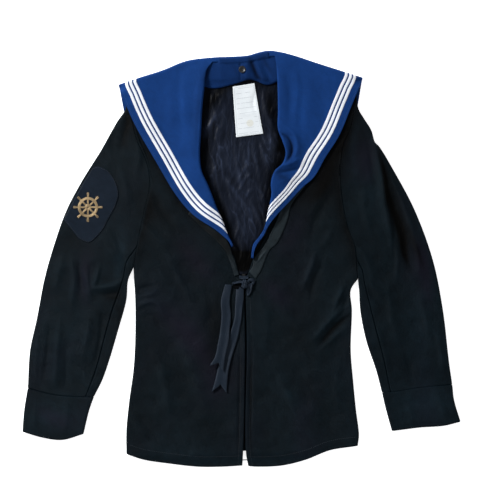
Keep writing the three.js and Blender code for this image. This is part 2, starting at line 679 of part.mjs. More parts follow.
function addInside() {
  const lining = patch(curve(LINING.left), curve(LINING.right), curve(LINING.bottom), curve(LINING.top));
  addLaid('lining_back', 'lining', lining, 10, 16, SATIN, (x, y, u, v) => {
    const shown = smoothstep(Math.min(u, 1 - u), 0.12, 0.3) * smoothstep(1 - v, 0.12, 0.2);
    return liningFloor(x, y) - SATIN + SEAM + shown * Math.max(0, foldHeight(LINING_FOLDS, x, y));
  });
  const label = patch(curve(LABEL.left), curve(LABEL.right), curve(LABEL.bottom), curve(LABEL.top));
  addLaid('label', 'label', label, 4, 6, TAPE, (x, y) => liningFloor(x, y) + 2 * SEAM
    + 1.3 * Math.max(0, foldHeight(LINING_FOLDS, x, y)));
  const band = patch(curve(BAND.left), curve(BAND.right), curve(BAND.bottom), curve(BAND.top));
  addLaid('neck_band', 'collar_blue', band, 14, 4, DRILL, (x, y, u, v) => (
    liningFloor(x, y) + 2 * SEAM + lerp(0.2, 0.5, v) + bandPuff(x, u, v)
  ));
  addButton();
}

// The band is puffed between its seam and the fold, with two soft upright folds
function bandPuff(x, u, v) {
  const folds = Math.exp(-(((x - 12) / 7) ** 2)) - 0.6 * Math.exp(-(((x - 22) / 6) ** 2));
  return Math.sin(Math.PI * v) * Math.sin(Math.PI * clamp(u, 0.02, 0.98)) * (1.3 + 0.7 * folds);
}

function addButton() {
  const outline = new THREE.Shape().absarc(0, 0, BUTTON_RADIUS, 0, 2 * Math.PI);
  const { radius, out } = BUTTON_HOLE;
  for (const [dx, dy] of [[1, 1], [1, -1], [-1, 1], [-1, -1]]) {
    outline.holes.push(new THREE.Path().absarc(out * dx, out * dy, radius, 0, 2 * Math.PI, true));
  }
  const geometry = new THREE.ExtrudeGeometry(outline, {
    depth: BUTTON_THICK - 1, bevelEnabled: true, bevelThickness: 0.5, bevelSize: 0.4,
    bevelOffset: -0.4, bevelSegments: 1, curveSegments: 6,
  });
  const [x, y] = BUTTON_AT;
  geometry.translate(x, y, liningFloor(x, y) + SEAM + 1 + 1.4 + DRILL + SEAM + 0.8);
  add('neck_button', 'button', geometry);
}

function addZip() {
  const middle = (t) => between(curve(LEFT.slit)(t), curve(RIGHT.slit)(t), 0.5);
  const plan = (u, v) => {
    const [x, y] = middle(lerp(ZIP.from, 1, v));
    return [x + lerp(-ZIP.halfWidth, ZIP.halfWidth, u), y + ZIP.longer * v];
  };
  const up = SERGE + LOFT_LEAST + 0.2;
  addLaid('zip_tape', 'zip', plan, 2, 10, ZIP.thick, (x, y) => ground(x, y) + up);
  const slider = new THREE.BoxGeometry(...SLIDER_SIZE);
  slider.translate(...SLIDER_AT, up + ZIP.thick + SEAM + SLIDER_SIZE[2] / 2);
  add('zip_slider', 'zip', slider);
  const bar = new THREE.BoxGeometry(...BAR_SIZE);
  bar.translate(...BAR_AT, chestTop(...BAR_AT) + 1.4);
  add('bar_tack', 'ribbon', bar);
}

function addFacings() {
  for (const [name, half] of [['facing_left', LEFT], ['facing_right', RIGHT]]) {
    const plan = strip(curve(half.facingOuter), curve(half.facingInner));
    addLaid(name, 'facing', plan, 2, 14, RIBBON, (x, y) => chestTop(x, y) + 2 * SEAM);
  }
}

// The badge is a plain ship's wheel on a dark patch
function addBadge() {
  const plan = patch(curve(PATCH.left), curve(PATCH.right), curve(PATCH.bottom), curve(PATCH.top));
  addLaid('badge_patch', 'patch', plan, 8, 10, SATIN, (x, y) => chestTop(x, y) + 2 * SEAM);
  const [hub, rimIn, rimOut, reach, spoke] = [5, 13, 17, 25, 1.3];
  const polar = (radius, angle) => new THREE.Vector2(radius * Math.cos(angle), radius * Math.sin(angle));
  const halfAt = (radius, halfWidth) => Math.asin(halfWidth / radius);
  const outline = [];
  const gaps = [];
  for (let k = 0; k < WHEEL_SPOKES; k += 1) {
    const middle = 2 * Math.PI * k / WHEEL_SPOKES;
    const knob = [[rimOut, spoke], [reach - 4, spoke], [reach - 3, 2.2], [reach - 0.8, 1.8]];
    for (const [radius, width] of knob) outline.push(polar(radius, middle - halfAt(radius, width)));
    outline.push(polar(reach, middle));
    for (const [radius, width] of knob.toReversed()) {
      outline.push(polar(radius, middle + halfAt(radius, width)));
    }
    const next = 2 * Math.PI / WHEEL_SPOKES;
    outline.push(polar(rimOut, middle + next / 2));
    const low = middle + halfAt(rimIn, spoke);
    const high = middle + next - halfAt(rimIn, spoke);
    gaps.push(new THREE.Path([
      polar(rimIn, low), polar(rimIn, (low + high) / 2), polar(rimIn, high),
      polar(hub, middle + next - halfAt(hub, spoke)), polar(hub, middle + halfAt(hub, spoke)),
    ]));
  }
  const shape = new THREE.Shape(outline);
  shape.holes.push(...gaps);
  const geometry = new THREE.ExtrudeGeometry(shape, { depth: WHEEL_THICK, bevelEnabled: false });
  geometry.translate(...WHEEL_AT, 0);
  const place = geometry.attributes.position;
  for (let k = 0; k < place.count; k += 1) {
    const up = chestTop(place.getX(k), place.getY(k)) + 2 * SEAM + SATIN + SEAM + 0.1;
    place.setZ(k, place.getZ(k) + up);
  }
  add('badge_wheel', 'wire', geometry);
}

function addTie() {
  const tail = (name, table, lift, rows) => {
    const plan = strip(curve(table.left), curve(table.right));
    addLaid(name, 'ribbon', plan, 3, rows, RIBBON, (x, y, u, v) => (
      chestTop(x, y) + lift(v) + 0.7 * Math.sin(Math.PI * u)
    ));
  };
  tail('tie_tail_back', TAIL_BACK, () => 2 * SEAM, 12);
  tail('tie_tail_front', TAIL_FRONT, (v) => lerp(2 * SEAM, 4.4, smoothstep(v, 0.3, 0.55)), 12);
  tail('tie_loop_left', LOOP, () => 2 * SEAM, 4);
  tail('tie_stub_right', STUB, () => 2 * SEAM, 3);
  const knot = new THREE.SphereGeometry(1, 14, 9);
  const place = knot.attributes.position;
  const point = new THREE.Vector3();
  for (let k = 0; k < place.count; k += 1) {
    point.fromBufferAttribute(place, k);
    const wrap = 1 + 0.06 * Math.cos(5 * point.y + 2 * point.x);
    const [across, along, up] = KNOT_HALF.map((half) => half * wrap);
    place.setXYZ(k, across * point.x, along * point.y, up * point.z);
  }
  knot.rotateZ(0.25);
  knot.translate(...KNOT_AT, chestTop(...KNOT_AT) + KNOT_UP + SEAM);
  add('tie_knot', 'ribbon', knot);
}

addBack();
addFront('front_left', LEFT);
addFront('front_right', RIGHT);
addSleeve('sleeve_left', LEFT, -1);
addSleeve('sleeve_right', RIGHT, 1);
addCuff('cuff_left', LEFT);
addCuff('cuff_right', RIGHT);
addInside();
addZip();
addFacings();
addCollar();
addBadge();
addTie();

const middle = new THREE.Box3().setFromObject(garment).getCenter(new THREE.Vector3());
garment.position.set(-middle.x, -middle.y, 0);

export default garment;
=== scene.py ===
import math

import bmesh
import bpy
import numpy as np
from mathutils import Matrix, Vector


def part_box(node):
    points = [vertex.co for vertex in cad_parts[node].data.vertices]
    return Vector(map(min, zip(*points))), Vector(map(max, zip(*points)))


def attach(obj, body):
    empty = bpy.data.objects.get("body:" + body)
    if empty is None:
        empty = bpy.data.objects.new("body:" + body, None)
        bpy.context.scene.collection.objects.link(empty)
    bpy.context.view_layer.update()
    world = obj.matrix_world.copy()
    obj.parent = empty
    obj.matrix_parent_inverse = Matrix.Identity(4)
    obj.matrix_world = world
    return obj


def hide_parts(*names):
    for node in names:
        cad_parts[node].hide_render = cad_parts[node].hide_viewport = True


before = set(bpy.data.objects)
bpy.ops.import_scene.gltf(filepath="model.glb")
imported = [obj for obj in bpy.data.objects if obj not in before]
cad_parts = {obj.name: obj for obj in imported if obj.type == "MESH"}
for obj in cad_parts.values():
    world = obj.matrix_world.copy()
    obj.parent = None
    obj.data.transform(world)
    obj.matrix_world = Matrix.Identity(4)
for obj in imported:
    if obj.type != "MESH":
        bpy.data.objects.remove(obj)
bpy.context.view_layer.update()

# Sizes are millimetres up to the point where a mesh is made, which is in metres

# Thickness of each cloth and the air between the layers
SERGE = 1.8
SHELL = 1.5
DRILL = 1.4
SATIN = 0.8
RIBBON = 0.9
TAPE = 0.5
CUFF_CLOTH = 2.2
LOFT = 2.4
LOFT_LEAST = 0.4
ARMHOLE_GAP = 0.15
SLEEVE_BOW = 16
STEP = 2.8            # spacing of the fine grids
COARSE_STEP = 5.0     # and of the hidden ones

# Rough spans, which the grids are spaced for
FRONT_WIDE, FRONT_LONG = 190, 700
BACK_LONG = 670
SLEEVE_WIDE, SLEEVE_LONG = 150, 520
CUFF_LONG = 75
FALL_LONG = 350

# Flat size of each cloth piece as it shows, across and along
FLAT = {
    "front": (220, 705), "back": (404, 690), "sleeve_top": (190, 560), "sleeve_under": (215, 560),
    "cuff": (240, 86), "collar": (430, 700), "lining": (200, 365), "label": (46, 94), "band": (140, 54),
    "facing_left": (16, 140), "facing_right": (20, 180), "patch": (74, 126), "tail_back": (16, 250),
    "tail_front": (15, 150),
}

# Collar
FLAP_UP = 0.5         # the flap lies this high, on its own tapes
FLAP_SPACE = 1.9
FLAP_RAMP = 45
FLAP_CLEAR = 40
ROLL_RADIUS = 3.4
ROLL_RISE = 5.5
ROLL_REACH = 50
TAPE_INSET = 12
TAPE_WIDTH = 4.8
TAPE_PITCH = 7.4
TAPE_COUNT = 3
# How far a fall's edge margin and its tapes draw together, and over which share of its length
NARROWING = {"left": (0.75, 1.0, 0.3, 0.9), "right": (0.68, 0.66, 0.45, 0.66)}

BUTTON_AT = (1, 322)
WHEEL_AT = (-261, 88)
WHEEL_RINGS = [(13.6, 0.85), (15.0, 0.85), (16.4, 0.85), (2.0, 0.8), (3.5, 0.8), (4.8, 0.8)]
WHEEL_SPOKES = 8
WHEEL_SPOKE = [(5.4, 1), (12.8, 1)]     # distance from the middle, and how far the pair stands apart
WHEEL_GRIP = [(17.2, 1), (20.5, 1), (22.2, 1.7), (24.2, 1.2), (24.8, 0.4)]
KNOT_AT = (5, -42.5)
KNOT_TURN = -0.08
TAIL_NOTCH = 0.075    # depth of a tail's notch as a share of its length
BAR_AT = (6, -342)

# Outlines, each row (across, up), set along the edge it names
TOP_FOLD = [(-209, 297), (-176, 308), (-135, 321), (-94, 337), (-48, 343), (-13, 344.5), (12, 346.5),
            (27, 351), (45, 354.5), (62, 353), (89, 346.5), (130, 333), (171, 320), (206, 309)]
LEFT = {
    "fall_edge": [(-209, 297), (-201, 274), (-181, 228), (-145, 165), (-110, 107), (-82, 75),
                  (-42, 48), (-28, 36), (-21, 29), (-17, 20)],
    "roll": [(-48, 343), (-59, 323), (-63, 294), (-67, 255), (-69, 216), (-71, 177), (-68, 151),
             (-59, 131), (-50, 109), (-44, 93), (-38, 79), (-32, 65), (-26, 48), (-21, 37),
             (-17, 30), (-14, 23)],
    "flap_side": [(-191, 58), (-200, 250), (-209, 297)],
    "side": [(-196, -332), (-196, -291), (-191, -240), (-184, -189), (-181, -138), (-181, -70),
             (-183, -36), (-184, -15)],
    "armhole": [(-184, -15), (-176, 32), (-166, 80), (-156, 131), (-162, 168), (-177, 202),
                (-188, 245), (-193, 282)],
    "hem": [(-196, -332), (-166, -342), (-128, -348), (-74, -354), (-33, -354), (1.5, -352)],
    "shoulder": [(-193, 282), (-150, 306), (-94, 327), (-62, 332)],
    "slit": [(1.5, -352), (2.5, -334), (4, -300), (5.5, -224), (6.5, -148), (4.5, -70), (2, -42)],
    "neckline": [(2, -42), (-5, -22), (-12, 3), (-23, 22), (-32, 42), (-41, 62), (-55, 101),
                 (-65, 122), (-75, 150), (-78, 177), (-76, 216), (-74, 255), (-70, 294),
                 (-62, 332)],
    "sleeve_outer": [(-364, -220), (-360, -155), (-349, -104), (-336, -36), (-322, 15),
                     (-298, 83), (-271, 134), (-239, 185), (-220, 219), (-210, 236),
                     (-198, 254), (-193, 282)],
    "sleeve_inner": [(-251, -234), (-237, -206), (-225, -172), (-210, -121), (-196, -70),
                     (-193, -36), (-184, -15)],
    "cuff_seam": [(-364, -220), (-323, -230), (-290, -234), (-251, -234)],
    "cuff_outer": [(-373, -294), (-370, -257), (-364, -220)],
    "cuff_inner": [(-269, -298), (-259, -257), (-251, -234)],
    "cuff_end": [(-373, -294), (-339, -304), (-305, -308), (-269, -298)],
    "facing_outer": [(-12, -30), (-16, -15), (-21, -1), (-26, 11), (-36, 24), (-50, 38), (-67, 53),
                     (-81, 67), (-91, 76)],
    "facing_inner": [(-4, -27), (-7, -19), (-11, -4), (-16, 8), (-18, 18), (-25, 33), (-39, 46),
                     (-57, 58), (-75, 71), (-87, 82)],
}
RIGHT = {
    "fall_edge": [(206, 309), (200, 292), (186, 258), (166, 210), (142, 172), (123, 139),
                  (104, 122), (80, 96), (60, 75), (45, 55), (37, 39), (27, 26), (22, 15), (20, 1)],
    "roll": [(56, 354), (59, 331), (61, 302), (62, 255), (62, 221), (69, 203), (75, 182),
             (70, 164), (56, 150), (50, 130), (51, 112), (45, 80), (41, 60), (37, 49), (30, 38),
             (21, 27), (18, 17), (16.5, 2)],
    "flap_side": [(187, 58), (196, 250), (206, 309)],
    "side": [(198, -318), (200, -299), (195, -257), (190, -206), (186, -155), (188, -87),
             (186, -53), (198, -34)],
    "armhole": [(198, -34), (193, 22), (180, 59), (172, 100), (169, 144), (173, 192),
                (186, 223), (195, 284)],
    "hem": [(198, -318), (150, -326), (110, -342), (69, -352), (28, -354), (11.5, -353)],
    "shoulder": [(195, 284), (150, 316), (100, 333), (64, 335)],
    "slit": [(11.5, -353), (8, -334), (6.5, -300), (7.5, -224), (9, -148), (7, -70), (5, -42)],
    "neckline": [(5, -42), (12, -22), (21, 3), (31, 22), (44, 49), (54, 85), (64, 125),
                 (75, 150), (83, 180), (76, 212), (70, 250), (69, 296), (64, 335)],
    "sleeve_outer": [(359, -214), (353, -172), (343, -87), (326, -2), (295, 83), (259, 151),
                     (234, 192), (227, 199), (221, 219), (208, 240), (199, 256), (195, 284)],
    "sleeve_inner": [(239, -227), (229, -189), (212, -138), (202, -87), (200, -53), (198, -34)],
    "cuff_seam": [(359, -214), (302, -219), (266, -225), (239, -227)],
    "cuff_outer": [(373, -277), (362, -240), (359, -214)],
    "cuff_inner": [(256, -293), (246, -257), (239, -227)],
    "cuff_end": [(373, -277), (344, -284), (303, -287), (256, -293)],
    "facing_outer": [(24, -34), (33, -20), (47, 14), (61, 28), (79, 69), (84, 91), (108, 124)],
    "facing_inner": [(13, -22), (19, -12), (22, 3), (38, 22), (58, 62), (68, 88), (95, 126)],
}
BACK_NECK = [(-193, 282), (-150, 306), (-94, 327), (-62, 332), (0, 336), (64, 335), (100, 333),
             (150, 316), (195, 284)]
BACK_HEM = [(-196, -332), (-100, -331), (0, -327), (100, -322), (198, -318)]
LINING = {
    "left": [(-9, -26.5), (-28, 6), (-48, 45), (-70, 100), (-88, 145), (-92, 185), (-86, 260),
             (-58, 330)],
    "right": [(13, -26.5), (34, 6), (60, 45), (76, 95), (92, 145), (98, 190), (86, 260), (60, 331)],
    "bottom": [(-9, -26.5), (2, -27), (13, -26.5)],
    "top": [(-58, 330), (0, 333), (60, 331)],
}
BAND = {
    "left": [(-67, 294), (-66, 305), (-62, 322), (-50, 340.5)],
    "right": [(66, 303), (64, 318), (61, 335), (57, 350)],
    "bottom": [(-67, 294), (-46, 290), (-14, 297), (14, 305), (24, 303), (43, 296), (66, 303)],
    "top": [(-50, 340.5), (-13, 342.3), (12, 344.2), (27, 348.8), (45, 352), (57, 350)],
}
LABEL = {
    "left": [(-9, 207), (-15, 293)],
    "right": [(37, 213), (32, 240), (22, 299)],
    "bottom": [(-9, 207), (37, 213)],
    "top": [(-15, 293), (22, 299)],
}
TAIL_FRONT = {
    "left": [(-28, -43), (-35, -71), (-34, -96), (-36, -120), (-41, -148), (-45, -166), (-54, -181)],
    "right": [(-16, -44), (-20, -71), (-18, -96), (-20, -120), (-22, -142), (-27, -163), (-31, -192)],
}
TAIL_BACK = {
    "left": [(-9, -47), (-10, -64), (-11, -80), (-12, -100), (-20, -128), (-32, -160), (-40, -185),
             (-45, -207), (-51, -226)],
    "right": [(4, -48), (4, -64), (2, -80), (-1, -108), (-7, -136), (-17, -168), (-22, -190),
              (-24, -207), (-25, -228)],
}
LOOP = {"left": [(-16, -44), (-10, -42), (1, -41)], "right": [(-15, -39.5), (-8, -38), (1, -35.5)]}
# A near-black strip under the left loop: a painted shadow in the loop's hollow
LOOP_SHADOW_STRIP = {"left": [(-13, -50), (-6, -51), (0, -50)], "right": [(-15, -42), (-7, -41), (0, -40)]}
STUB = {"left": [(9, -62), (9, -54), (9, -42)], "right": [(12, -63), (17, -54), (19, -42)]}
BAR = {"left": [(-4, -34), (4, -35), (12, -34)], "right": [(-3, -28), (4, -29), (11, -28)]}
PATCH = {
    "left": [(-302, 67), (-291, 90), (-279, 112), (-267, 133), (-253, 154)],
    "right": [(-262, 28), (-255, 30), (-237, 48), (-227, 66), (-214, 91), (-209, 112), (-216, 134),
              (-227, 150)],
    "bottom": [(-302, 67), (-287, 48), (-275, 34), (-262, 28)],
    "top": [(-253, 154), (-246, 157), (-239, 156), (-227, 150)],
}

# Creases: a path, its width to the left and to the right of it, and its height; under 0
# it is a trough, and a narrow side is a sharp one
BODY_FOLDS = [
    ([(133, -146), (150, -124), (171, -105), (188, -94)], 4, 9, -2.6),
    ([(124, -136), (146, -110), (168, -88), (184, -78)], 10, 5, 3.2),
    ([(128, -158), (146, -142), (166, -124), (182, -112)], 5, 10, 2.4),
    ([(171, -92), (176, -76), (182, -58)], 5, 5, -2.0),
    ([(158, -84), (166, -66), (176, -44)], 8, 4, 3.0),
    ([(128, 14), (121, -8), (114, -27), (104, -51)], 5, 8, 2.8),
    ([(138, 6), (133, -16), (122, -40), (118, -70)], 7, 5, -1.6),
    ([(-178, -64), (-158, -60), (-139, -54)], 4, 7, 2.4),
    ([(-178, -52), (-162, -48), (-146, -46)], 5, 4, -1.8),
    ([(-180, -84), (-160, -74), (-146, -76), (-130, -96)], 7, 4, 2.8),
    ([(-170, -100), (-150, -96), (-136, -116)], 6, 6, -1.3),
    ([(-128, 10), (-112, -22), (-98, -50), (-84, -78)], 14, 7, 2.4),
    ([(-60, -40), (-52, -80), (-58, -120)], 12, 12, -1.3),
    ([(-168, 60), (-140, 30), (-120, 18)], 9, 7, 1.6),
    ([(-150, 110), (-128, 70), (-104, 44)], 10, 8, -1.5),
    ([(60, -190), (76, -226), (92, -262)], 12, 8, 1.9),
    ([(84, -170), (108, -214), (112, -268)], 10, 14, -1.2),
    ([(-150, -150), (-130, -210), (-124, -270)], 14, 9, 1.8),
    ([(-110, -130), (-84, -190), (-60, -260)], 16, 10, 1.9),
    ([(-176, -262), (-168, -276), (-150, -300)], 6, 6, -1.0),
    ([(-184, -276), (-172, -292), (-158, -310)], 6, 6, 1.2),
    ([(160, 60), (140, 26), (128, 14)], 9, 9, 1.4),
    ([(150, 110), (126, 66), (116, 30)], 12, 8, -1.7),
    ([(60, -60), (74, -90), (100, -120), (124, -134)], 12, 12, 1.2),
    ([(-110, -230), (-70, -260), (-40, -300)], 15, 15, 0.9),
    ([(120, -220), (140, -262), (150, -300)], 14, 14, -1.0),
    ([(30, -60), (44, -100), (40, -150)], 10, 12, 1.1),
    ([(170, -170), (160, -220), (168, -270)], 12, 9, 1.2),
    ([(-2, -100), (-3.4, -200), (-5.2, -300), (-8.2, -350)], 2.2, 1.6, -1.3),
    ([(16.6, -100), (16.2, -200), (15.4, -300), (20, -350)], 1.6, 2.2, -1.3),
]
SLEEVE_FOLDS = [
    ([(-190, 250), (-198, 216), (-206, 182)], 9, 9, -2.0),
    ([(-176, 196), (-174, 170), (-180, 140)], 7, 7, 1.5),
    ([(-222, 226), (-228, 200), (-224, 176)], 9, 9, 1.4),
    ([(-278, -8), (-274, -36), (-275, -58)], 7, 4, -2.0),
    ([(-290, 6), (-286, -50), (-292, -92)], 10, 6, 2.4),
    ([(-264, -10), (-262, -40), (-256, -66)], 5, 9, 2.2),
    ([(-310, -98), (-314, -150), (-318, -212)], 10, 6, 2.8),
    ([(-326, -110), (-330, -160), (-338, -212)], 6, 6, -1.8),
    ([(-241, -8), (-246, -30), (-254, -52)], 6, 6, 2.2),
    ([(-238, -62), (-220, -60), (-200, -58)], 12, 3, -2.4),
    ([(-256, -50), (-236, -48), (-216, -44), (-200, -34)], 4, 9, 3.4),
    ([(-258, -92), (-262, -130), (-272, -170)], 9, 9, 2.0),
    ([(-236, -84), (-240, -130), (-250, -180)], 7, 5, -1.6),
    ([(-232, 30), (-216, 0), (-204, -26)], 10, 7, 1.6),
    ([(-222, 60), (-206, 20), (-196, -8)], 7, 7, -1.3),
    ([(-300, 20), (-310, -20), (-318, -60)], 10, 10, 1.6),
    ([(-208, 160), (-198, 130), (-192, 90)], 10, 10, 1.4),
    ([(-345, -120), (-350, -170), (-352, -208)], 7, 7, 1.5),
    ([(-270, -190), (-262, -212), (-252, -228)], 7, 7, 1.4),
    ([(-296, -140), (-298, -180), (-300, -226)], 6, 8, -1.2),
    ([(228, 198), (234, 169), (241, 133), (245, 98), (253, 55), (256, 26)], 3, 12, 5.4),
    ([(216, 200), (222, 160), (230, 112)], 10, 8, -1.2),
    ([(243, 122), (256, 94), (266, 66), (276, 37), (278, 12), (286, -16)], 10, 5, -2.6),
    ([(256, 140), (274, 96), (290, 50), (300, 10), (302, -24)], 8, 6, 3.0),
    ([(262, 30), (266, 0), (262, -40)], 8, 6, 1.8),
    ([(300, -50), (312, -96), (322, -150)], 12, 9, 2.2),
    ([(250, -40), (254, -90), (266, -140)], 12, 8, 1.8),
    ([(214, -34), (230, -52), (252, -60)], 6, 6, 1.8),
    ([(212, -46), (226, -66), (244, -80)], 6, 6, -1.6),
    ([(200, 20), (214, -4), (226, -36)], 10, 8, 1.8),
    ([(330, -110), (340, -160), (346, -200)], 8, 8, 1.8),
    ([(280, -160), (288, -190), (292, -214)], 8, 8, -1.4),
    ([(206, 120), (212, 70), (220, 40)], 12, 10, 1.5),
    ([(228, -110), (240, -150), (252, -196)], 8, 6, 1.6),
    ([(310, -60), (330, -70), (342, -66)], 7, 5, 1.4),
]
CUFF_FOLDS = [
    ([(-350, -250), (-352, -275), (-350, -298)], 6, 6, 1.2),
    ([(-300, -240), (-298, -270), (-304, -302)], 8, 8, 1.1),
    ([(282, -234), (288, -262), (292, -284)], 7, 7, 1.2),
    ([(330, -222), (340, -250), (352, -278)], 8, 8, 1.2),
    ([(262, -250), (292, -244), (322, -246)], 6, 6, -0.8),
]
COLLAR_FOLDS = [
    ([(-120, 300), (-116, 240), (-110, 190)], 18, 14, 1.6),
    ([(-74, 326), (-80, 290), (-82, 240), (-84, 200)], 6, 12, -1.5),
    ([(-96, 322), (-98, 280), (-96, 230)], 9, 9, 1.3),
    ([(-75, 120), (-62, 98), (-50, 76)], 8, 8, 1.3),
    ([(-150, 262), (-130, 210), (-104, 160)], 16, 16, -1.2),
    ([(110, 316), (112, 260), (104, 200)], 16, 14, 1.7),
    ([(76, 320), (82, 280), (80, 236)], 9, 9, -1.6),
    ([(92, 330), (96, 290), (92, 240), (96, 214)], 8, 8, 1.4),
    ([(134, 296), (140, 250), (130, 200)], 14, 14, -1.1),
    ([(66, 214), (79, 206), (86, 190), (84, 175), (76, 165)], 3, 6, -4.0),
    ([(72, 222), (88, 212), (95, 192), (92, 172)], 9, 4, 3.0),
    ([(60, 157), (78, 160), (98, 168)], 5, 4, 3.0),
    ([(56, 144), (74, 148), (94, 152), (112, 160)], 5, 4, -2.4),
    ([(62, 130), (76, 134), (96, 142)], 6, 6, 1.6),
    ([(58, 112), (66, 104), (72, 92)], 6, 6, -1.1),
    ([(-196, 268), (-176, 262), (-160, 262)], 9, 9, 0.9),
    ([(186, 282), (170, 276), (156, 280)], 9, 9, 0.9),
    ([(-20, 344), (-24, 338), (-26, 332)], 5, 5, 0.8),
    ([(-186, 250), (-160, 206), (-128, 150)], 7, 7, 0.8),
    ([(170, 250), (150, 206), (126, 160)], 7, 7, 0.8),
]
LINING_FOLDS = [
    ([(-66, 214), (-54, 228), (-42, 250), (-36, 268)], 4, 7, 2.4),
    ([(-62, 200), (-48, 214), (-34, 236)], 5, 5, -1.2),
    ([(-31, 143), (-12, 118), (4, 96), (16, 80)], 3, 5, 2.8),
    ([(-26, 150), (-6, 126), (12, 102)], 4, 4, -1.0),
    ([(16, 97), (28, 74), (40, 46)], 3, 5, 2.4),
    ([(6, 92), (16, 70), (26, 44)], 4, 4, 1.6),
    ([(-52, 186), (-46, 160), (-40, 128)], 3, 5, 2.0),
    ([(-38, 196), (-34, 166), (-30, 150)], 3, 4, 1.7),
    ([(-24, 198), (-22, 170), (-14, 140)], 3, 4, 1.6),
    ([(-10, 192), (-6, 160), (2, 124)], 3, 4, 1.7),
    ([(4, 196), (8, 166), (16, 130)], 3, 4, 1.6),
    ([(18, 200), (22, 176), (32, 150)], 3, 4, 1.9),
    ([(32, 196), (42, 176), (54, 158)], 3, 6, 2.4),
    ([(46, 214), (54, 196), (62, 186)], 4, 4, 1.9),
    ([(-18, 96), (-6, 70), (6, 40)], 3, 5, 1.6),
    ([(-30, 110), (-22, 84), (-14, 60)], 4, 4, 1.8),
    ([(0, 40), (2, 18), (0, -4)], 4, 4, 1.4),
    ([(48, 290), (44, 262), (46, 230)], 4, 5, 1.8),
    ([(-48, 282), (-52, 262), (-50, 244)], 4, 4, 1.6),
    ([(26, 128), (36, 110), (42, 92)], 3, 4, 1.6),
    ([(36, 290), (42, 250), (58, 222)], 3, 5, 2.0),
    ([(-30, 286), (-28, 250), (-34, 214)], 4, 6, 1.4),
]
FACING_FOLDS = [
    ([(70, 92), (64, 74), (60, 60)], 3, 4, 1.2),
    ([(60, 66), (50, 46), (46, 30)], 2, 3, 2.0),
    ([(42, 14), (34, 4), (26, -6)], 2, 3, 1.6),
    ([(52, 44), (44, 30), (38, 12)], 2, 2, -1.2),
    ([(88, 116), (80, 102), (76, 92)], 4, 4, 0.8),
    ([(34, 26), (28, 10), (20, -4)], 3, 3, -0.5),
    ([(-20, 0), (-14, -8), (-9, -22)], 2, 3, 0.8),
]
LABEL_FOLDS = [
    ([(26, 290), (20, 262), (30, 240)], 3, 4, -1.6),
    ([(-12, 250), (6, 246), (30, 252)], 4, 4, 1.0),
]
# Slanting pleats of the neck band: height, place across, width, and whether it slants
BAND_PLEATS = [(1.6, 9, 6, False), (-2.2, 18, 5, True), (1.5, 27, 5, True), (-1.0, 37, 5, True),
               (0.9, -34, 9, False), (-1.0, -2, 1.6, False)]
# Painted shade and painted light in the cloth's colour: darker in creases, beside the collar's edges, in the
# underarms and along the stitched lines by the slit, lighter on ridges, hem and cuffs; a path, its width to each
# side, and how much lighter or darker
PAINTED_SHADES = [
    ([(206, 300), (166, 210), (123, 139), (80, 92), (50, 55)], 34, 5, -0.95),
    ([(206, 300), (176, 200), (150, 130), (120, 80)], 26, 20, -0.3),
    ([(-205, 292), (-181, 228), (-145, 165), (-110, 107), (-82, 75), (-30, 30)], 5, 13, -0.65),
    ([(-188, 262), (-194, 226), (-202, 186)], 12, 9, -0.75),
    ([(-184, -15), (-172, 32), (-160, 80), (-152, 131)], 3, 14, -0.6),
    ([(198, -34), (190, 22), (177, 59), (168, 100), (166, 144)], 14, 3, -0.7),
    ([(-236, -66), (-218, -66), (-199, -66)], 16, 5, -0.65),
    ([(-222, -70), (-206, -90), (-204, -120)], 12, 12, -0.4),
    ([(240, 128), (250, 104), (262, 74), (274, 42), (277, 14), (286, -20)], 7, 10, -0.95),
    ([(262, 70), (271, 44), (276, 20), (279, -4)], 9, 9, -0.6),
    ([(229, 188), (238, 156), (244, 120), (250, 80)], 11, 2.5, -0.85),
    ([(136, -144), (152, -122), (171, -104), (187, -93)], 5, 7, -0.8),
    ([(133, 4), (124, -28), (118, -64)], 8, 8, -0.25),
    ([(-40, -60), (-46, -110), (-52, -180)], 14, 14, -0.4),
    ([(-170, -240), (-150, -180), (-130, -120)], 22, 22, -0.2),
    ([(90, -110), (108, -150), (120, -190)], 16, 16, -0.2),
    ([(-2.5, -150), (-4.4, -224), (-5.3, -300), (-8.2, -352)], 1.6, 1.6, -0.5),
    ([(16.8, -130), (16.2, -200), (15.4, -300), (20.4, -352)], 1.6, 1.6, -0.6),
    ([(-186, -318), (-120, -334), (-60, -350), (0, -352), (80, -350), (180, -320)], 34, 34, 0.6),
    ([(-330, -60), (-340, -130), (-348, -200)], 16, 16, 0.3),
    ([(-40, -300), (-100, -240), (-140, -180)], 24, 24, -0.2),
    ([(210, 190), (220, 130), (228, 70)], 14, 14, 0.3),
    ([(-176, 130), (-146, 84), (-104, 40), (-70, 0)], 26, 26, -0.35),
    ([(-200, 50), (-206, -10), (-216, -40)], 9, 12, 0.9),
    ([(-262, -60), (-284, -120), (-300, -190)], 18, 18, 0.45),
    ([(-372, -262), (-312, -272), (-258, -266)], 40, 40, 0.75),
    ([(246, -256), (304, -250), (372, -244)], 40, 40, 0.75),
    ([(286, -60), (300, -130), (312, -200)], 22, 22, 0.5),
    ([(200, 250), (190, 190), (196, 130)], 9, 9, 0.5),
    ([(150, 150), (136, 118), (112, 90)], 14, 14, -0.5),
    ([(40, -200), (92, -240), (150, -270)], 22, 22, 0.3),
    ([(256, 92), (267, 58), (276, 26), (281, -2)], 5, 6, -0.7),
    ([(226, 184), (254, 126), (284, 46), (304, 0), (322, -44)], 12, 9, -0.4),
    ([(286, 54), (298, 22), (310, -14)], 3, 8, -0.6),
    ([(226, -60), (220, -110), (232, -160)], 8, 12, 0.3),
    ([(126, -136), (148, -112), (170, -90)], 7, 5, 0.35),
    ([(300, 60), (318, -10), (330, -80)], 14, 14, 0.2),
]
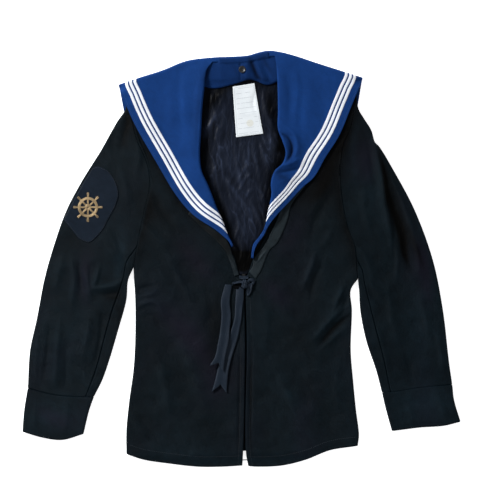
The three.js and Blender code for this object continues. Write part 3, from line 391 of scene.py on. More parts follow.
# Where the nap lies the other way the black turns to violet: a painted sheen in the colour
PAINTED_NAP_SHEENS = [
    ([(-150, -70), (-90, -130), (-50, -190), (-45, -250)], 34, 30, 0.8),
    ([(-110, 40), (-80, 0), (-44, -40)], 22, 22, 0.6),
    ([(36, -30), (60, -62), (88, -80)], 22, 22, 0.6),
    ([(110, 80), (86, 40), (60, 0)], 22, 22, 0.4),
    ([(-262, 20), (-268, -40), (-262, -90)], 14, 14, 0.5),
    ([(206, 210), (212, 170), (214, 120)], 20, 20, 0.5),
    ([(296, 40), (312, -20), (322, -80)], 18, 18, 0.7),
    ([(-350, -250), (-320, -270), (-290, -280)], 18, 18, 0.5),
    ([(130, -230), (100, -280), (110, -330)], 24, 24, 0.3),
]
# Painted shade in the collar's creases, at its kink and on the neck band, and painted light on a few of its
# ridges
COLLAR_PAINTED_SHADES = [
    ([(-60, 320), (-70, 280), (-76, 216), (-78, 170)], 3, 12, -0.25),
    ([(-44, 100), (-34, 80), (-26, 60)], 12, 12, -0.3),
    ([(66, 214), (79, 206), (86, 190), (84, 175), (76, 165)], 3, 3, -0.8),
    ([(58, 148), (76, 150), (98, 156)], 5, 4, -0.35),
    ([(76, 166), (81, 182), (76, 200)], 6, 6, -0.4),
    ([(-90, 310), (-96, 260), (-100, 200)], 12, 12, 0.15),
    ([(92, 310), (100, 250), (100, 200)], 16, 16, 0.22),
    ([(57, 148), (69, 139), (84, 135)], 7, 7, -0.45),
    ([(12, 343), (18, 331), (25, 314), (34, 303)], 5, 5, -0.85),
    ([(36, 346), (42, 332), (52, 314)], 4, 5, -0.4),
    ([(-18, 330), (-10, 320), (-6, 308)], 4, 4, -0.2),
    ([(-54, 330), (-60, 312), (-62, 296)], 6, 6, -0.35),
    ([(-26, 303), (0, 306), (30, 306), (52, 300)], 8, 3, -0.25),
]
# Painted shade on the lining beside the collar's edges, under its top and at the foot of the opening, and painted
# light along a few crinkles
LINING_PAINTED_SHADES = [
    ([(-58, 296), (-68, 250), (-74, 200), (-72, 160), (-56, 112), (-30, 60), (-8, 0)], 22, 22, -0.95),
    ([(60, 300), (64, 250), (68, 214), (76, 186), (54, 140), (50, 100), (40, 56), (18, 0)], 22, 22, -0.95),
    ([(-58, 290), (-10, 294), (30, 298), (58, 294)], 12, 12, -0.6),
    ([(-24, 14), (2, -4), (24, 14)], 18, 18, -1.1),
    ([(0, 16), (2, -10), (2, -26)], 18, 18, -1.0),
    ([(44, 292), (46, 262), (52, 234)], 14, 14, -0.7),
    ([(-22, 288), (-42, 278), (-56, 252)], 14, 14, -0.75),
    ([(-64, 220), (-48, 236), (-28, 256)], 4, 4, 0.8),
    ([(45, 234), (48, 202), (50, 170)], 4, 7, 0.55),
    ([(62, 226), (68, 204), (58, 176)], 8, 8, -0.6),
    ([(-56, 214), (-58, 186), (-50, 150)], 10, 10, -0.45),
    ([(-20, 196), (-8, 150), (6, 116)], 10, 10, 0.3),
    ([(-34, 92), (-24, 60), (-12, 30)], 8, 8, -0.35),
    ([(-24, 150), (0, 130), (20, 90)], 20, 20, 0.5),
    ([(-10, 70), (8, 50), (16, 30)], 12, 12, 0.35),
]


def smoothstep(x, low, high):
    t = np.clip((x - low) / (high - low), 0, 1)
    return t * t * (3 - 2 * t)


def mix(a, b, t):
    return a + (b - a) * t


# Curves and patches in plan

def curve(points):
    """A smooth line through given points, asked by share of its length."""
    p = np.array(points, float)
    ends = np.vstack([2 * p[0] - p[1], p, 2 * p[-1] - p[-2]])
    path = [p[:1]]
    for k in range(len(p) - 1):
        corners = ends[k:k + 4]
        gaps = np.maximum(np.linalg.norm(np.diff(corners, axis=0), axis=1), 1e-9) ** 0.5
        knots = np.concatenate([[0], np.cumsum(gaps)])
        t = np.linspace(knots[1], knots[2], 25)[1:, None]

        def blend(a, b, ka, kb):
            return a * (kb - t) / (kb - ka) + b * (t - ka) / (kb - ka)

        a = [blend(corners[m], corners[m + 1], knots[m], knots[m + 1]) for m in range(3)]
        b = [blend(a[m], a[m + 1], knots[m], knots[m + 2]) for m in range(2)]
        path.append(blend(b[0], b[1], knots[1], knots[2]))
    path = np.vstack(path)
    run = np.concatenate([[0], np.cumsum(np.linalg.norm(np.diff(path, axis=0), axis=1))])

    def at(t):
        t = np.clip(np.asarray(t, float), 0, 1) * run[-1]
        return np.stack([np.interp(t, run, path[:, k]) for k in range(path.shape[1])], -1)
    return at


def chained(lower, upper):
    """Two curves end to end, each on half of the run."""
    def at(t):
        t = np.asarray(t, float)
        return np.where((t < 0.5)[..., None], lower(2 * t), upper(2 * t - 1))
    return at


def patch(left, right, bottom, top):
    """A patch spans four edge curves: u goes across, v goes along."""
    b0, b1, t0, t1 = bottom(0.0), bottom(1.0), top(0.0), top(1.0)

    def at(u, v):
        u, v = np.broadcast_arrays(np.asarray(u, float), np.asarray(v, float))
        uu, vv = u[..., None], v[..., None]
        sides = mix(left(v), right(v), uu)
        ends = mix(bottom(u), top(u), vv)
        corners = mix(mix(b0, b1, uu), mix(t0, t1, uu), vv)
        return sides + ends - corners
    return at


def table_patch(table):
    return patch(*(curve(table[key]) for key in ("left", "right", "bottom", "top")))


def strip(left, right):
    def at(u, v):
        u, v = np.broadcast_arrays(np.asarray(u, float), np.asarray(v, float))
        return mix(left(v), right(v), u[..., None])
    return at


def span_at(plan, v):
    v = np.asarray(v, float)
    return np.linalg.norm(plan(np.ones_like(v), v) - plan(np.zeros_like(v), v), axis=-1)


def shares(length, step, edge=(0.0, 0.35, 0.9, 1.8)):
    """Shares of a length: even in the middle, close together at both ends."""
    near = np.array(edge)
    count = max(2, int(round((length - 2 * near[-1]) / step)))
    middle = np.linspace(near[-1], length - near[-1], count + 1)
    return np.concatenate([near[:-1], middle, length - near[:-1][::-1]]) / length


# Heights off the floor

def side_x(table, y):
    t = np.array(table, float)
    return np.interp(y, t[:, 1], t[:, 0])


def ground(xy):
    """The under layers lie on the floor, and climb onto the collar's back flap."""
    x, y = xy[..., 0], xy[..., 1]
    inside = np.minimum(np.minimum(x - side_x(LEFT["flap_side"], y), side_x(RIGHT["flap_side"], y) - x),
                        y - LEFT["flap_side"][0][1])
    return FLAP_SPACE * smoothstep(inside, -FLAP_RAMP - FLAP_CLEAR, -FLAP_CLEAR)


def prepared(folds):
    """Each crease as a fine path and its box, worked out once."""
    made = []
    for points, left, right, height in folds:
        path = curve(points)(np.linspace(0, 1, 16))
        reach = 4 * max(left, right)
        made.append((path, left, right, height, path.min(0) - reach, path.max(0) + reach))
    return made


def fold_height(folds, xy):
    """Sum of the creases: rounded ridges and troughs that fade at both ends."""
    total = np.zeros(xy.shape[:-1])
    for path, left, right, height, low, high in folds:
        near = np.all((xy > low) & (xy < high), axis=-1)
        if not near.any():
            continue
        a, ab = path[:-1], np.diff(path, axis=0)
        ap = xy[near][:, None, :] - a[None]
        along = np.clip((ap * ab).sum(-1) / (ab * ab).sum(-1), 0, 1)
        off = ap - along[..., None] * ab
        away = np.hypot(off[..., 0], off[..., 1])
        best = away.argmin(1)
        rows = np.arange(len(best))
        share = (best + along[rows, best]) / len(a)
        hand = ab[best, 0] * ap[rows, best, 1] - ab[best, 1] * ap[rows, best, 0]
        distance = away[rows, best] / np.where(hand > 0, left, right)
        fade = np.sin(np.pi * np.clip(share, 0.03, 0.97)) ** 0.6
        total[near] += height * fade / (1 + distance ** 2) ** 2
    return total


def waves(xy, size, seed):
    """Soft unevenness: a few crossing sines with fixed directions."""
    rng = np.random.default_rng(seed)
    total = np.zeros(xy.shape[:-1])
    for _ in range(7):
        angle = rng.uniform(0, 2 * math.pi)
        length = size * rng.uniform(0.6, 1.8)
        shift = rng.uniform(0, 2 * math.pi)
        along = xy[..., 0] * math.cos(angle) + xy[..., 1] * math.sin(angle)
        total += np.sin(2 * math.pi * along / length + shift)
    return total / 7


TOP_CREASES = prepared(BODY_FOLDS + SLEEVE_FOLDS)
CUFF_CREASES = prepared(CUFF_FOLDS)
COLLAR_CREASES = prepared(COLLAR_FOLDS)
LINING_CREASES = prepared(LINING_FOLDS)
FACING_CREASES = prepared(FACING_FOLDS)
LABEL_CREASES = prepared(LABEL_FOLDS)


def loft(xy):
    lift = fold_height(TOP_CREASES, xy) + 1.8 * waves(xy, 110, 3) + 0.9 * waves(xy, 46, 5)
    return np.maximum(LOFT + lift, LOFT_LEAST + 0.3 * np.exp(np.minimum(lift + LOFT - LOFT_LEAST, 0)))


def cuff_loft(xy):
    return LOFT + fold_height(CUFF_CREASES, xy) + 0.5 * waves(xy, 60, 8)


def hem_drop(xy):
    """Past the back's shorter hem the fronts come down to the floor."""
    hem = np.array(BACK_HEM, float)
    past = np.interp(xy[..., 0], hem[:, 0], hem[:, 1]) - xy[..., 1]
    return smoothstep(past, 3, 20) * (SERGE + loft(xy) - 0.3)


def no_drop(xy):
    return np.zeros(xy.shape[:-1])


def chest_top(xy):
    return ground(xy) + 2 * SERGE + loft(xy) - hem_drop(xy)


def crinkles(xy, turn, length, seed):
    """Thin broken ridges that wander, mostly along one direction."""
    across = xy[..., 0] * math.cos(turn) + xy[..., 1] * math.sin(turn)
    drawn = xy * np.array([1.0, 0.42])
    wander = 1.5 * waves(drawn, 60, seed) + 0.5 * waves(drawn, 24, seed + 1)
    ridge = 1 - np.abs(np.sin(np.pi * across / length + 3 * wander))
    return ridge ** 2 * smoothstep(waves(drawn, 40, seed + 2), -0.15, 0.35)


def lining_relief(xy):
    flat = smoothstep(xy[..., 1], 0, 50) * (1 - 0.85 * smoothstep(np.abs(xy[..., 0] - 11), 34, 20)
                                            * smoothstep(xy[..., 1], 190, 210))
    fine = flat * (2.0 * crinkles(xy, 0.22, 24, 61) + 1.6 * crinkles(xy, -0.18, 16, 71)
                   + 0.8 * crinkles(xy, 0.05, 10, 81))
    return (np.maximum(0, 0.5 + fold_height(LINING_CREASES, xy)) + 0.5 * waves(xy, 22, 11) + 0.3
            + fine)


def lining_top(xy):
    return ground(xy) + SERGE + 0.6 + SATIN + np.maximum(0, lining_relief(xy))


# Meshes

centre_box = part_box("zip_slider")
SLIDER_AT = (3.7, -30)
SHIFT = np.array([
    (centre_box[0].x + centre_box[1].x) * 500 - SLIDER_AT[0],
    (centre_box[0].y + centre_box[1].y) * 500 - SLIDER_AT[1],
    0.0,
])


def make_mesh(name, points, faces):
    mesh = bpy.data.meshes.new("seen_" + name)
    mesh.from_pydata(((np.asarray(points) + SHIFT) * 0.001).tolist(), [], faces)
    mesh.validate()
    mesh.shade_smooth()
    piece = bpy.data.objects.new("seen_" + name, mesh)
    bpy.context.scene.collection.objects.link(piece)
    return piece


def solid(name, points, faces):
    """A closed mesh, its faces turned outward."""
    piece = make_mesh(name, points, faces)
    bm = bmesh.new()
    bm.from_mesh(piece.data)
    bmesh.ops.recalc_face_normals(bm, faces=bm.faces)
    bm.to_mesh(piece.data)
    bm.free()
    return piece


def ring_faces(rings, sides, start=0, capped=True):
    """Faces of a tube whose points run ring by ring from a first number."""
    faces = []
    for k in range(rings - 1):
        for q in range(sides):
            a, b = start + k * sides + q, start + k * sides + (q + 1) % sides
            faces.append((a, b, b + sides, a + sides))
    if capped:
        last = start + (rings - 1) * sides
        faces += [list(range(start, start + sides))[::-1], list(range(last, last + sides))]
    return faces


def shell(name, outer, inner, live=None, wraps=False):
    """A closed sheet between two grids of points (columns, rows, xyz)."""
    columns, rows = outer.shape[0] - (0 if wraps else 1), outer.shape[1] - 1
    count = outer.shape[0]
    live = np.ones((columns, rows), bool) if live is None else live
    points = np.concatenate([outer.reshape(-1, 3), inner.reshape(-1, 3)])
    half = outer.shape[0] * outer.shape[1]

    def face(*corners):
        return np.stack([(i % count) * outer.shape[1] + j + side * half for i, j, side in corners], 1)

    i, j = np.nonzero(live)
    faces = [face((i, j, 0), (i + 1, j, 0), (i + 1, j + 1, 0), (i, j + 1, 0)),
             face((i, j + 1, 1), (i + 1, j + 1, 1), (i + 1, j, 1), (i, j, 1))]
    padded = np.zeros((columns + 2, rows + 2), bool)
    padded[1:-1, 1:-1] = live
    if wraps:
        padded[0, 1:-1], padded[-1, 1:-1] = live[-1], live[0]
    rims = ((0, -1, (1, 0), (0, 0)), (0, 1, (0, 1), (1, 1)), (-1, 0, (0, 0), (0, 1)), (1, 0, (1, 1), (1, 0)))
    for di, dj, a, b in rims:
        edge = live & ~padded[1 + di:1 + di + columns, 1 + dj:1 + dj + rows]
        i, j = np.nonzero(edge)
        a, b = (i + a[0], j + a[1]), (i + b[0], j + b[1])
        faces.append(face((*a, 0), (*b, 0), (*b, 1), (*a, 1)))
    faces = np.concatenate(faces)
    across = outer[1, 0] - outer[0, 0]
    along = outer[0, 1] - outer[0, 0]
    if np.dot(np.cross(across, along), outer[0, 0] - inner[0, 0]) < 0:
        faces = faces[:, ::-1]
    used = np.unique(faces)
    renumber = np.zeros(len(points), int)
    renumber[used] = np.arange(len(used))
    return make_mesh(name, points[used], renumber[faces].tolist())


# Painted shade and light, and the painted nap sheen, as fine paths worked out once
PAINTED_SHADE_STROKES, PAINTED_NAP_SHEEN_STROKES = prepared(PAINTED_SHADES), prepared(PAINTED_NAP_SHEENS)
COLLAR_PAINTED_STROKES, LINING_PAINTED_STROKES = prepared(COLLAR_PAINTED_SHADES), prepared(LINING_PAINTED_SHADES)


RIM_UNIT = 20         # the label's printed lines all lie nearer its edge or its middle than this


def label_rims(xy):
    """Distance from the label's edge, in rim units."""
    edges = np.vstack([curve(LABEL[key])(np.linspace(0, 1, 160)) for key in LABEL])
    return {"rim": np.linalg.norm(xy[:, None, :] - edges[None], axis=-1).min(1) / RIM_UNIT}


def serge_painted_shading(xy):
    # Painted shade in creases and low places and painted light on ridges, from the strokes and the folds' height,
    # with a slow random change of tone; the nap is a painted violet sheen
    lift = loft(xy) - LOFT
    shade = 1 + fold_height(PAINTED_SHADE_STROKES, xy) + 0.11 * np.clip(lift, -3, 3) + 0.2 * waves(xy, 90, 15)
    return {"shade": shade, "nap": np.clip(fold_height(PAINTED_NAP_SHEEN_STROKES, xy) + 0.3 * waves(xy, 120, 17), 0, 1)}


def collar_painted_shading(xy):
    # Painted shade and light from the collar's strokes, with a slow random change of tone
    return {"shade": 1 + fold_height(COLLAR_PAINTED_STROKES, xy) + 0.08 * waves(xy, 70, 25)}


def facing_painted_shading(xy):
    x, y = xy[..., 0], xy[..., 1]
    # Painted shade: the left facing is darkened where the collar shades it, most towards its upper end; its
    # creases get painted light and shade
    left = np.where(x < y * 0.4 - 1, 0.3 + 0.7 * smoothstep(y, -8, 14), 0)
    return {"shade": 1 - 0.72 * left + 0.3 * fold_height(FACING_CREASES, xy) + 0.15 * waves(xy, 26, 43)}


def band_painted_shading(xy):
    tones = collar_painted_shading(xy)
    # Painted shade: the neck band is the collar's cloth made darker, as it lies lower under the collar
    tones["shade"] = tones["shade"] * 0.66
    return tones


def lining_painted_shading(xy):
    # Painted light on the crinkles' ridges and painted shade in their hollows, over the painted shade of the
    # strokes
    creased = 0.3 * np.clip(lining_relief(xy) - 1.3, -1.6, 2.2)
    return {"shade": np.maximum(1 + fold_height(LINING_PAINTED_STROKES, xy), 0) * (1 + creased)}


LIGHTEST = 2.3        # the most that a kept tone may be


def keep_tones(piece, tones):
    """Stores at each point its painted shade and light and how far the painted violet nap sheen goes, or another
    kept value; the underside is even.
    """
    mesh = piece.data
    place = np.empty(len(mesh.vertices) * 3)
    mesh.vertices.foreach_get("co", place)
    place = place.reshape(-1, 3) * 1000 - SHIFT
    above = smoothstep(place[:, 2], 1.9, 2.4)
    for name, values in tones(place[:, :2]).items():
        values = mix(1.0 if name == "shade" else 0.0, values, above)
        attribute = mesh.attributes.new(name, "FLOAT", "POINT")
        attribute.data.foreach_set("value", np.clip(values, 0, LIGHTEST).astype(np.float32))


def finish_piece(piece, material, nodes=(), tones=None):
    piece.data.materials.append(material)
    if tones:
        keep_tones(piece, tones)
    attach(piece, "root")
    if nodes:
        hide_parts(*nodes)
    return piece


def cloth_area(piece):
    """Half the surface of a closed thin sheet, in square metres."""
    return sum(face.area for face in piece.data.polygons) / 2


def declare(piece, size, with_pieces=()):
    width, length = FLAT[size]
    area = min(cloth_area(piece), 0.99 * width * length * 1e-6)


# Node materials

def tree_of(name):
    material = bpy.data.materials.new(name)
    material.use_nodes = True
    tree = material.node_tree
    shader = tree.nodes["Principled BSDF"]
    return material, tree, shader


def feed(tree, socket, value):
    """Gives an input a constant, a colour or another node's output."""
    if isinstance(value, bpy.types.NodeSocket):
        tree.links.new(value, socket)
    elif socket.type == "RGBA" and len(value) == 3:
        socket.default_value = (*value, 1)
    else:
        socket.default_value = value


def node(tree, kind, **values):
    """A node with its inputs and settings given by name."""
    made = tree.nodes.new(kind)
    for key, value in values.items():
        if key in made.inputs:
            feed(tree, made.inputs[key], value)
        else:
            setattr(made, key, value)
    return made


def placed(tree, scale, angle=0.0):
    """Object coordinates in millimetres, turned by an angle and divided by a scale."""
    place = node(tree, "ShaderNodeTexCoord").outputs["Object"]
    leant = node(tree, "ShaderNodeMapping", Vector=place, Rotation=(0, 0, angle)).outputs["Vector"]
    shrunk = tuple(1000.0 / s for s in scale)
    return node(tree, "ShaderNodeMapping", Vector=leant, Scale=shrunk).outputs["Vector"]


def maths(tree, operation, a, b=0.0, c=None):
    made = node(tree, "ShaderNodeMath", operation=operation)
    for socket, value in zip(made.inputs, (a, b) if c is None else (a, b, c)):
        feed(tree, socket, value)
    return made.outputs[0]


def noise(tree, vector, detail=3.0, roughness=0.5):
    made = node(tree, "ShaderNodeTexNoise", Vector=vector, Scale=1.0, Detail=detail, Roughness=roughness)
    return made.outputs["Fac"]


def ridges(tree, vector):
    """Ribs across the first axis, slightly uneven."""
    return node(tree, "ShaderNodeTexWave", Vector=vector, Scale=0.5, Distortion=0.6, wave_type="BANDS",
                bands_direction="X", wave_profile="SIN").outputs["Fac"]


def ramp(tree, value, stops):
    made = node(tree, "ShaderNodeValToRGB", Fac=value)
    bar = made.color_ramp
    while len(bar.elements) < len(stops):
        bar.elements.new(0.5)
    for element, (position, colour) in zip(bar.elements, stops):
        element.position = position
        element.color = (*colour, 1)
    return made.outputs["Color"]


def bump(tree, shader, heights):
    """Chains bumps, each (height, strength, distance in mm)."""
    under = {}
    for height, strength, distance in heights:
        made = node(tree, "ShaderNodeBump", Strength=strength, Distance=distance * 0.001, Height=height,
                    **under)
        under = {"Normal": made.outputs["Normal"]}
    feed(tree, shader.inputs["Normal"], under["Normal"])


def tint(colour, factor):
    return tuple(channel * factor for channel in colour)


def kept(tree, name):
    return node(tree, "ShaderNodeAttribute", attribute_name=name).outputs["Fac"]


def blended(tree, share, a, b, how="MIX"):
    made = node(tree, "ShaderNodeMixRGB", blend_type=how)
    for socket, value in zip(made.inputs, (share, a, b)):
        feed(tree, socket, value)
    return made.outputs[0]


def coat(tree, shader, values):
    for key, value in values.items():
        feed(tree, shader.inputs[key], value)


def shaded(tree, colours):
    """Multiplies a colour by the painted shade and light that the mesh keeps."""
    grey = node(tree, "ShaderNodeCombineXYZ")
    for socket in grey.inputs:
        tree.links.new(kept(tree, "shade"), socket)
    return blended(tree, 1.0, colours, grey.outputs[0], "MULTIPLY")


def cloth(name, colour, weave, angle=0.0, sheen=0.01, roughness=0.85, spread=0.25, sheen_tint=(0.6, 0.66, 0.75),
          nap=0.5, weave_depth=0.12, with_painted_shade=False, other=None, gloss=0.08, wrinkle=0.5):
    """Woven cloth: diagonal or ribbed weave, fine nap, and slow changes of shade."""
    material, tree, shader = tree_of(name)
    slow = noise(tree, placed(tree, (70, 70, 70)), detail=2)
    fine = noise(tree, placed(tree, (2.2, 2.2, 2.2)), detail=4, roughness=0.7)
    ribs = ridges(tree, placed(tree, (weave, weave, weave), angle))
    middle = noise(tree, placed(tree, (12, 9, 12), angle), detail=5, roughness=0.65)
    shade = maths(tree, "ADD", maths(tree, "MULTIPLY", middle, 0.5), maths(tree, "MULTIPLY", fine, 0.4))
    shade = maths(tree, "MULTIPLY_ADD", ribs, 0.1, shade)
    colours = ramp(tree, shade, [(0.3, tint(colour, 1 - spread)), (0.7, tint(colour, 1 + spread))])
    # The painted violet sheen of the nap, blended in by the kept nap value
    if other:
        colours = blended(tree, kept(tree, "nap"), colours, other)
    # Painted shade and light kept on the mesh
    if with_painted_shade:
        colours = shaded(tree, colours)
    bump(tree, shader, [(slow, 0.25, 3.0), (middle, 0.5, wrinkle), (fine, nap, 0.35), (ribs, 0.6, weave_depth)])
    rough = maths(tree, "MULTIPLY_ADD", fine, 0.16, roughness - 0.08)
    coat(tree, shader, {"Base Color": colours, "Roughness": rough,
                        "Sheen Weight": sheen, "Sheen Roughness": 0.45, "Sheen Tint": sheen_tint,
                        "Specular IOR Level": gloss})
    return material


SERGE_COLOUR = (0.0023, 0.0055, 0.0080)
SERGE_NAP_SHEEN = (0.0056, 0.0050, 0.0106)
BLUE = (0.0052, 0.0320, 0.136)
SLEEVE_ANGLE = math.radians(20)
TWILL = math.radians(62)


def serge(name, lean=0.0):
    return cloth(name, SERGE_COLOUR, 0.9, TWILL + lean, sheen=0.0, spread=0.5, nap=0.9, weave_depth=0.2,
                 with_painted_shade=True, other=SERGE_NAP_SHEEN, gloss=0.04, roughness=0.55, wrinkle=1.6)


def satin(name):
    """Dark satin: smooth threads with a sheen, finely crinkled, with painted highlights along thin crinkle lines.
    """
    material, tree, shader = tree_of(name)
    slow = noise(tree, placed(tree, (40, 60, 40)), detail=3)
    crinkle = noise(tree, placed(tree, (7, 20, 7), math.radians(8)), detail=3, roughness=0.6)
    thread = noise(tree, placed(tree, (0.8, 9, 0.8)), detail=2)
    colours = ramp(tree, slow, [(0.3, (0.0056, 0.0078, 0.0145)), (0.7, (0.0105, 0.0142, 0.025))])
    colours = shaded(tree, colours)
    # Painted highlights: the colour is made lighter along thin crinkle lines in patches, and a little darker
    # elsewhere
    folds = noise(tree, placed(tree, (13, 44, 13), math.radians(-10)), detail=1, roughness=0.4)
    crease = maths(tree, "ABSOLUTE", maths(tree, "MULTIPLY_ADD", folds, 2.0, -1.0))
    crease = maths(tree, "MAXIMUM", maths(tree, "MULTIPLY_ADD", crease, -12.0, 1.0), 0.0)
    patchy = maths(tree, "MAXIMUM", maths(tree, "MULTIPLY_ADD", slow, 4.0, -1.4), 0.0)
    painted_gleam = maths(tree, "MULTIPLY_ADD", maths(tree, "MULTIPLY", crease, patchy), 0.9, 0.86)
    colours = blended(tree, 1.0, colours, painted_gleam, "MULTIPLY")
    bump(tree, shader, [(slow, 0.3, 4.0), (crinkle, 0.8, 1.8), (thread, 0.4, 0.12)])
    coat(tree, shader, {"Base Color": colours, "Roughness": maths(tree, "MULTIPLY_ADD", crinkle, 0.2, 0.34),
                        "Specular IOR Level": 0.09})
    return material


def plain(name, colour, roughness, metal=0.0, grain=0.6, depth=0.15, spread=0.2):
    material, tree, shader = tree_of(name)
    fine = noise(tree, placed(tree, (grain, grain, grain)), detail=3)
    colours = ramp(tree, fine, [(0.25, tint(colour, 1 - spread)), (0.75, tint(colour, 1 + spread))])
    bump(tree, shader, [(fine, 0.5, depth)])
    rough = maths(tree, "MULTIPLY_ADD", fine, 0.2, roughness - 0.1)
    coat(tree, shader, {"Base Color": colours, "Roughness": rough, "Metallic": metal})
    return material


MATERIALS = {
    "body": serge("serge_body"),
    "sleeve_left": serge("serge_sleeve_left", -SLEEVE_ANGLE),
    "sleeve_right": serge("serge_sleeve_right", SLEEVE_ANGLE),
    "collar": cloth("collar_drill", BLUE, 0.8, math.radians(45), sheen=0.0, roughness=0.8, spread=0.2,
                    wrinkle=1.1, gloss=0.05, nap=0.35, with_painted_shade=True),
    "tape": cloth("white_tape", (0.74, 0.76, 0.80), 0.6, math.radians(35), sheen=0.1, roughness=0.8,
                  spread=0.05, sheen_tint=(1, 1, 1), nap=0.3),
    "lining": satin("lining_satin"),
    "facing": cloth("facing_ribbed", (0.0095, 0.0148, 0.0182), 2.6, math.radians(62), roughness=0.55,
                    spread=0.45, nap=0.5, weave_depth=0.4, with_painted_shade=True),
    "ribbon": cloth("tie_ribbon", (0.0078, 0.0138, 0.0235), 2.2, math.radians(84), roughness=0.5,
                    spread=0.25, nap=0.3, weave_depth=0.35, gloss=0.12),
    "patch": cloth("patch_melton", (0.0064, 0.0108, 0.0182), 1.2, 0, roughness=0.9, spread=0.3, nap=0.9),
    "wire": plain("gold_wire", (0.33, 0.24, 0.13), 0.42, metal=0.75, grain=0.5, depth=0.2, spread=0.45),
    "button": plain("black_button", (0.006, 0.0065, 0.008), 0.45, grain=3, depth=0.05),
    "zip": cloth("zip_tape_cloth", (0.0012, 0.0014, 0.002), 0.7, 0, roughness=0.8, gloss=0.03),
    "teeth": plain("zip_teeth_dark", (0.002, 0.002, 0.0025), 0.5, grain=1.0, depth=0.05),
    "dark_thread": plain("dark_thread", (0.014, 0.018, 0.025), 0.6, grain=0.3, depth=0.08),
    "blue_thread": plain("blue_thread", (0.016, 0.045, 0.16), 0.6, grain=0.3, depth=0.08),
    "white_thread": plain("white_thread", (0.75, 0.76, 0.8), 0.6, grain=0.3, depth=0.08),
}


# Flat tubes: body and sleeves

def tube(plan, columns, rows, depth, roundness=None, cloth_thick=SERGE, low=no_drop, lift=loft):
    """Points of a flat tube. Columns are (u, turn, folded); at a folded edge the turn goes
    from -90, under, to 90, on top. Where an edge is cut and not folded, roundness is 0."""
    u = columns[:, :1]
    turn = np.radians(columns[:, 1:2])
    folded = columns[:, 2:3] > 0
    v = rows[None, :] * np.ones_like(u)
    round_by = np.ones_like(v) if roundness is None else roundness[None, :] * np.ones_like(u)
    half = cloth_thick + lift(plan(u * np.ones_like(v), v)) / 2
    inset = (half - (half - depth * round_by) * np.cos(turn)) / span_at(plan, rows)[None, :]
    across = np.where(folded, np.where(u < 0.5, inset, 1 - inset), u)
    xy = plan(across, v)
    rise = mix(np.sign(turn), np.sin(turn), round_by)
    z = ground(xy) + half + (half - depth) * rise - low(xy)
    return np.concatenate([xy, z[..., None]], -1)


def folded_columns(u, turns):
    return np.array([(u, turn, 1) for turn in turns], float)


def flat_columns(us, turn):
    return np.array([(u, turn, 0) for u in us], float)


def rolled(points, other, distance, radius=1.3):
    """Lets the outer face of a seam edge roll down towards the inner one."""
    d = np.clip(distance / radius, 0, 1)
    drop = radius * (1 - np.sqrt(1 - (1 - d) ** 2))
    way = other - points
    length = np.linalg.norm(way, axis=-1, keepdims=True)
    return points + way / np.maximum(length, 1e-6) * np.minimum(drop[..., None], 0.8 * length)


TOP_TURNS = (2, 15, 30, 45, 60, 75, 90)


def side_line(half):
    return chained(curve(half["side"]), curve(half["armhole"]))


def front(name, half):
    inner_line = chained(curve(half["slit"]), curve(half["neckline"]))
    plan = patch(side_line(half), inner_line, curve(half["hem"]), curve(half["shoulder"]))
    rows = shares(FRONT_LONG, STEP)
    us = np.concatenate([np.linspace(0.03, 1, int(FRONT_WIDE / STEP))[:-1],
                         1 - np.array([2.2, 1.1, 0.5, 0]) / FRONT_WIDE])
    us = np.unique(np.round(us, 6))
    columns = np.vstack([folded_columns(0, TOP_TURNS), flat_columns(us, 90)])
    roundness = 1 - smoothstep(rows, 0.492, 0.5)
    outer = tube(plan, columns, rows, 0, roundness, low=hem_drop)
    inner = tube(plan, columns, rows, SHELL, roundness, low=hem_drop)
    span = span_at(plan, rows)[None, :]
    across = np.where(columns[:, 2:3] > 0, 99, (1 - columns[:, :1]) * span)
    from_side = np.where(rows[None, :] > 0.5, np.linalg.norm((outer - outer[:1])[..., :2], axis=-1), 99)
    ends = np.minimum(rows, 1 - rows)[None, :] * FRONT_LONG
    outer = rolled(outer, inner, np.minimum(np.minimum(across, ends), from_side))
    piece = shell(name, outer, inner)
    finish_piece(piece, MATERIALS["body"], [name], serge_painted_shading)
    declare(piece, "front")
    return plan


def back():
    plan = patch(side_line(LEFT), side_line(RIGHT), curve(BACK_HEM), curve(BACK_NECK))
    rows = shares(BACK_LONG, COARSE_STEP)
    turns = [-turn for turn in TOP_TURNS]
    columns = np.vstack([folded_columns(0, turns), flat_columns(np.linspace(0.02, 0.98, 76), -90),
                         folded_columns(1, turns[::-1])])
    roundness = 1 - smoothstep(rows, 0.492, 0.5)
    outer = tube(plan, columns, rows, 0, roundness)
    inner = tube(plan, columns, rows, SHELL, roundness)
    piece = shell("back", outer, inner)
    finish_piece(piece, MATERIALS["body"], ["back"], serge_painted_shading)
    declare(piece, "back")


def sleeve_plan(half, away):
    armhole, outer, inner = curve(half["armhole"]), curve(half["sleeve_outer"]), curve(half["sleeve_inner"])
    gap = np.array([away * ARMHOLE_GAP, 0.0])

    def end(t):
        return armhole(1 - np.asarray(t, float)) + gap

    def closing(line):
        def at(t):
            return line(t) + gap * smoothstep(np.asarray(t, float), 0.94, 1)[..., None]
        return at

    flat = patch(closing(outer), closing(inner), curve(half["cuff_seam"]), end)

    def plan(u, v):
        u, v = np.broadcast_arrays(np.asarray(u, float), np.asarray(v, float))
        bow = np.sin(np.pi * u) * smoothstep(1 - v, 0, 0.12) * smoothstep(v, 0, 0.7)
        xy = flat(u, v)
        return xy + np.stack([away * SLEEVE_BOW * bow, 0 * bow], -1)
    return plan


SLEEVE_SEAM = 7 / 8


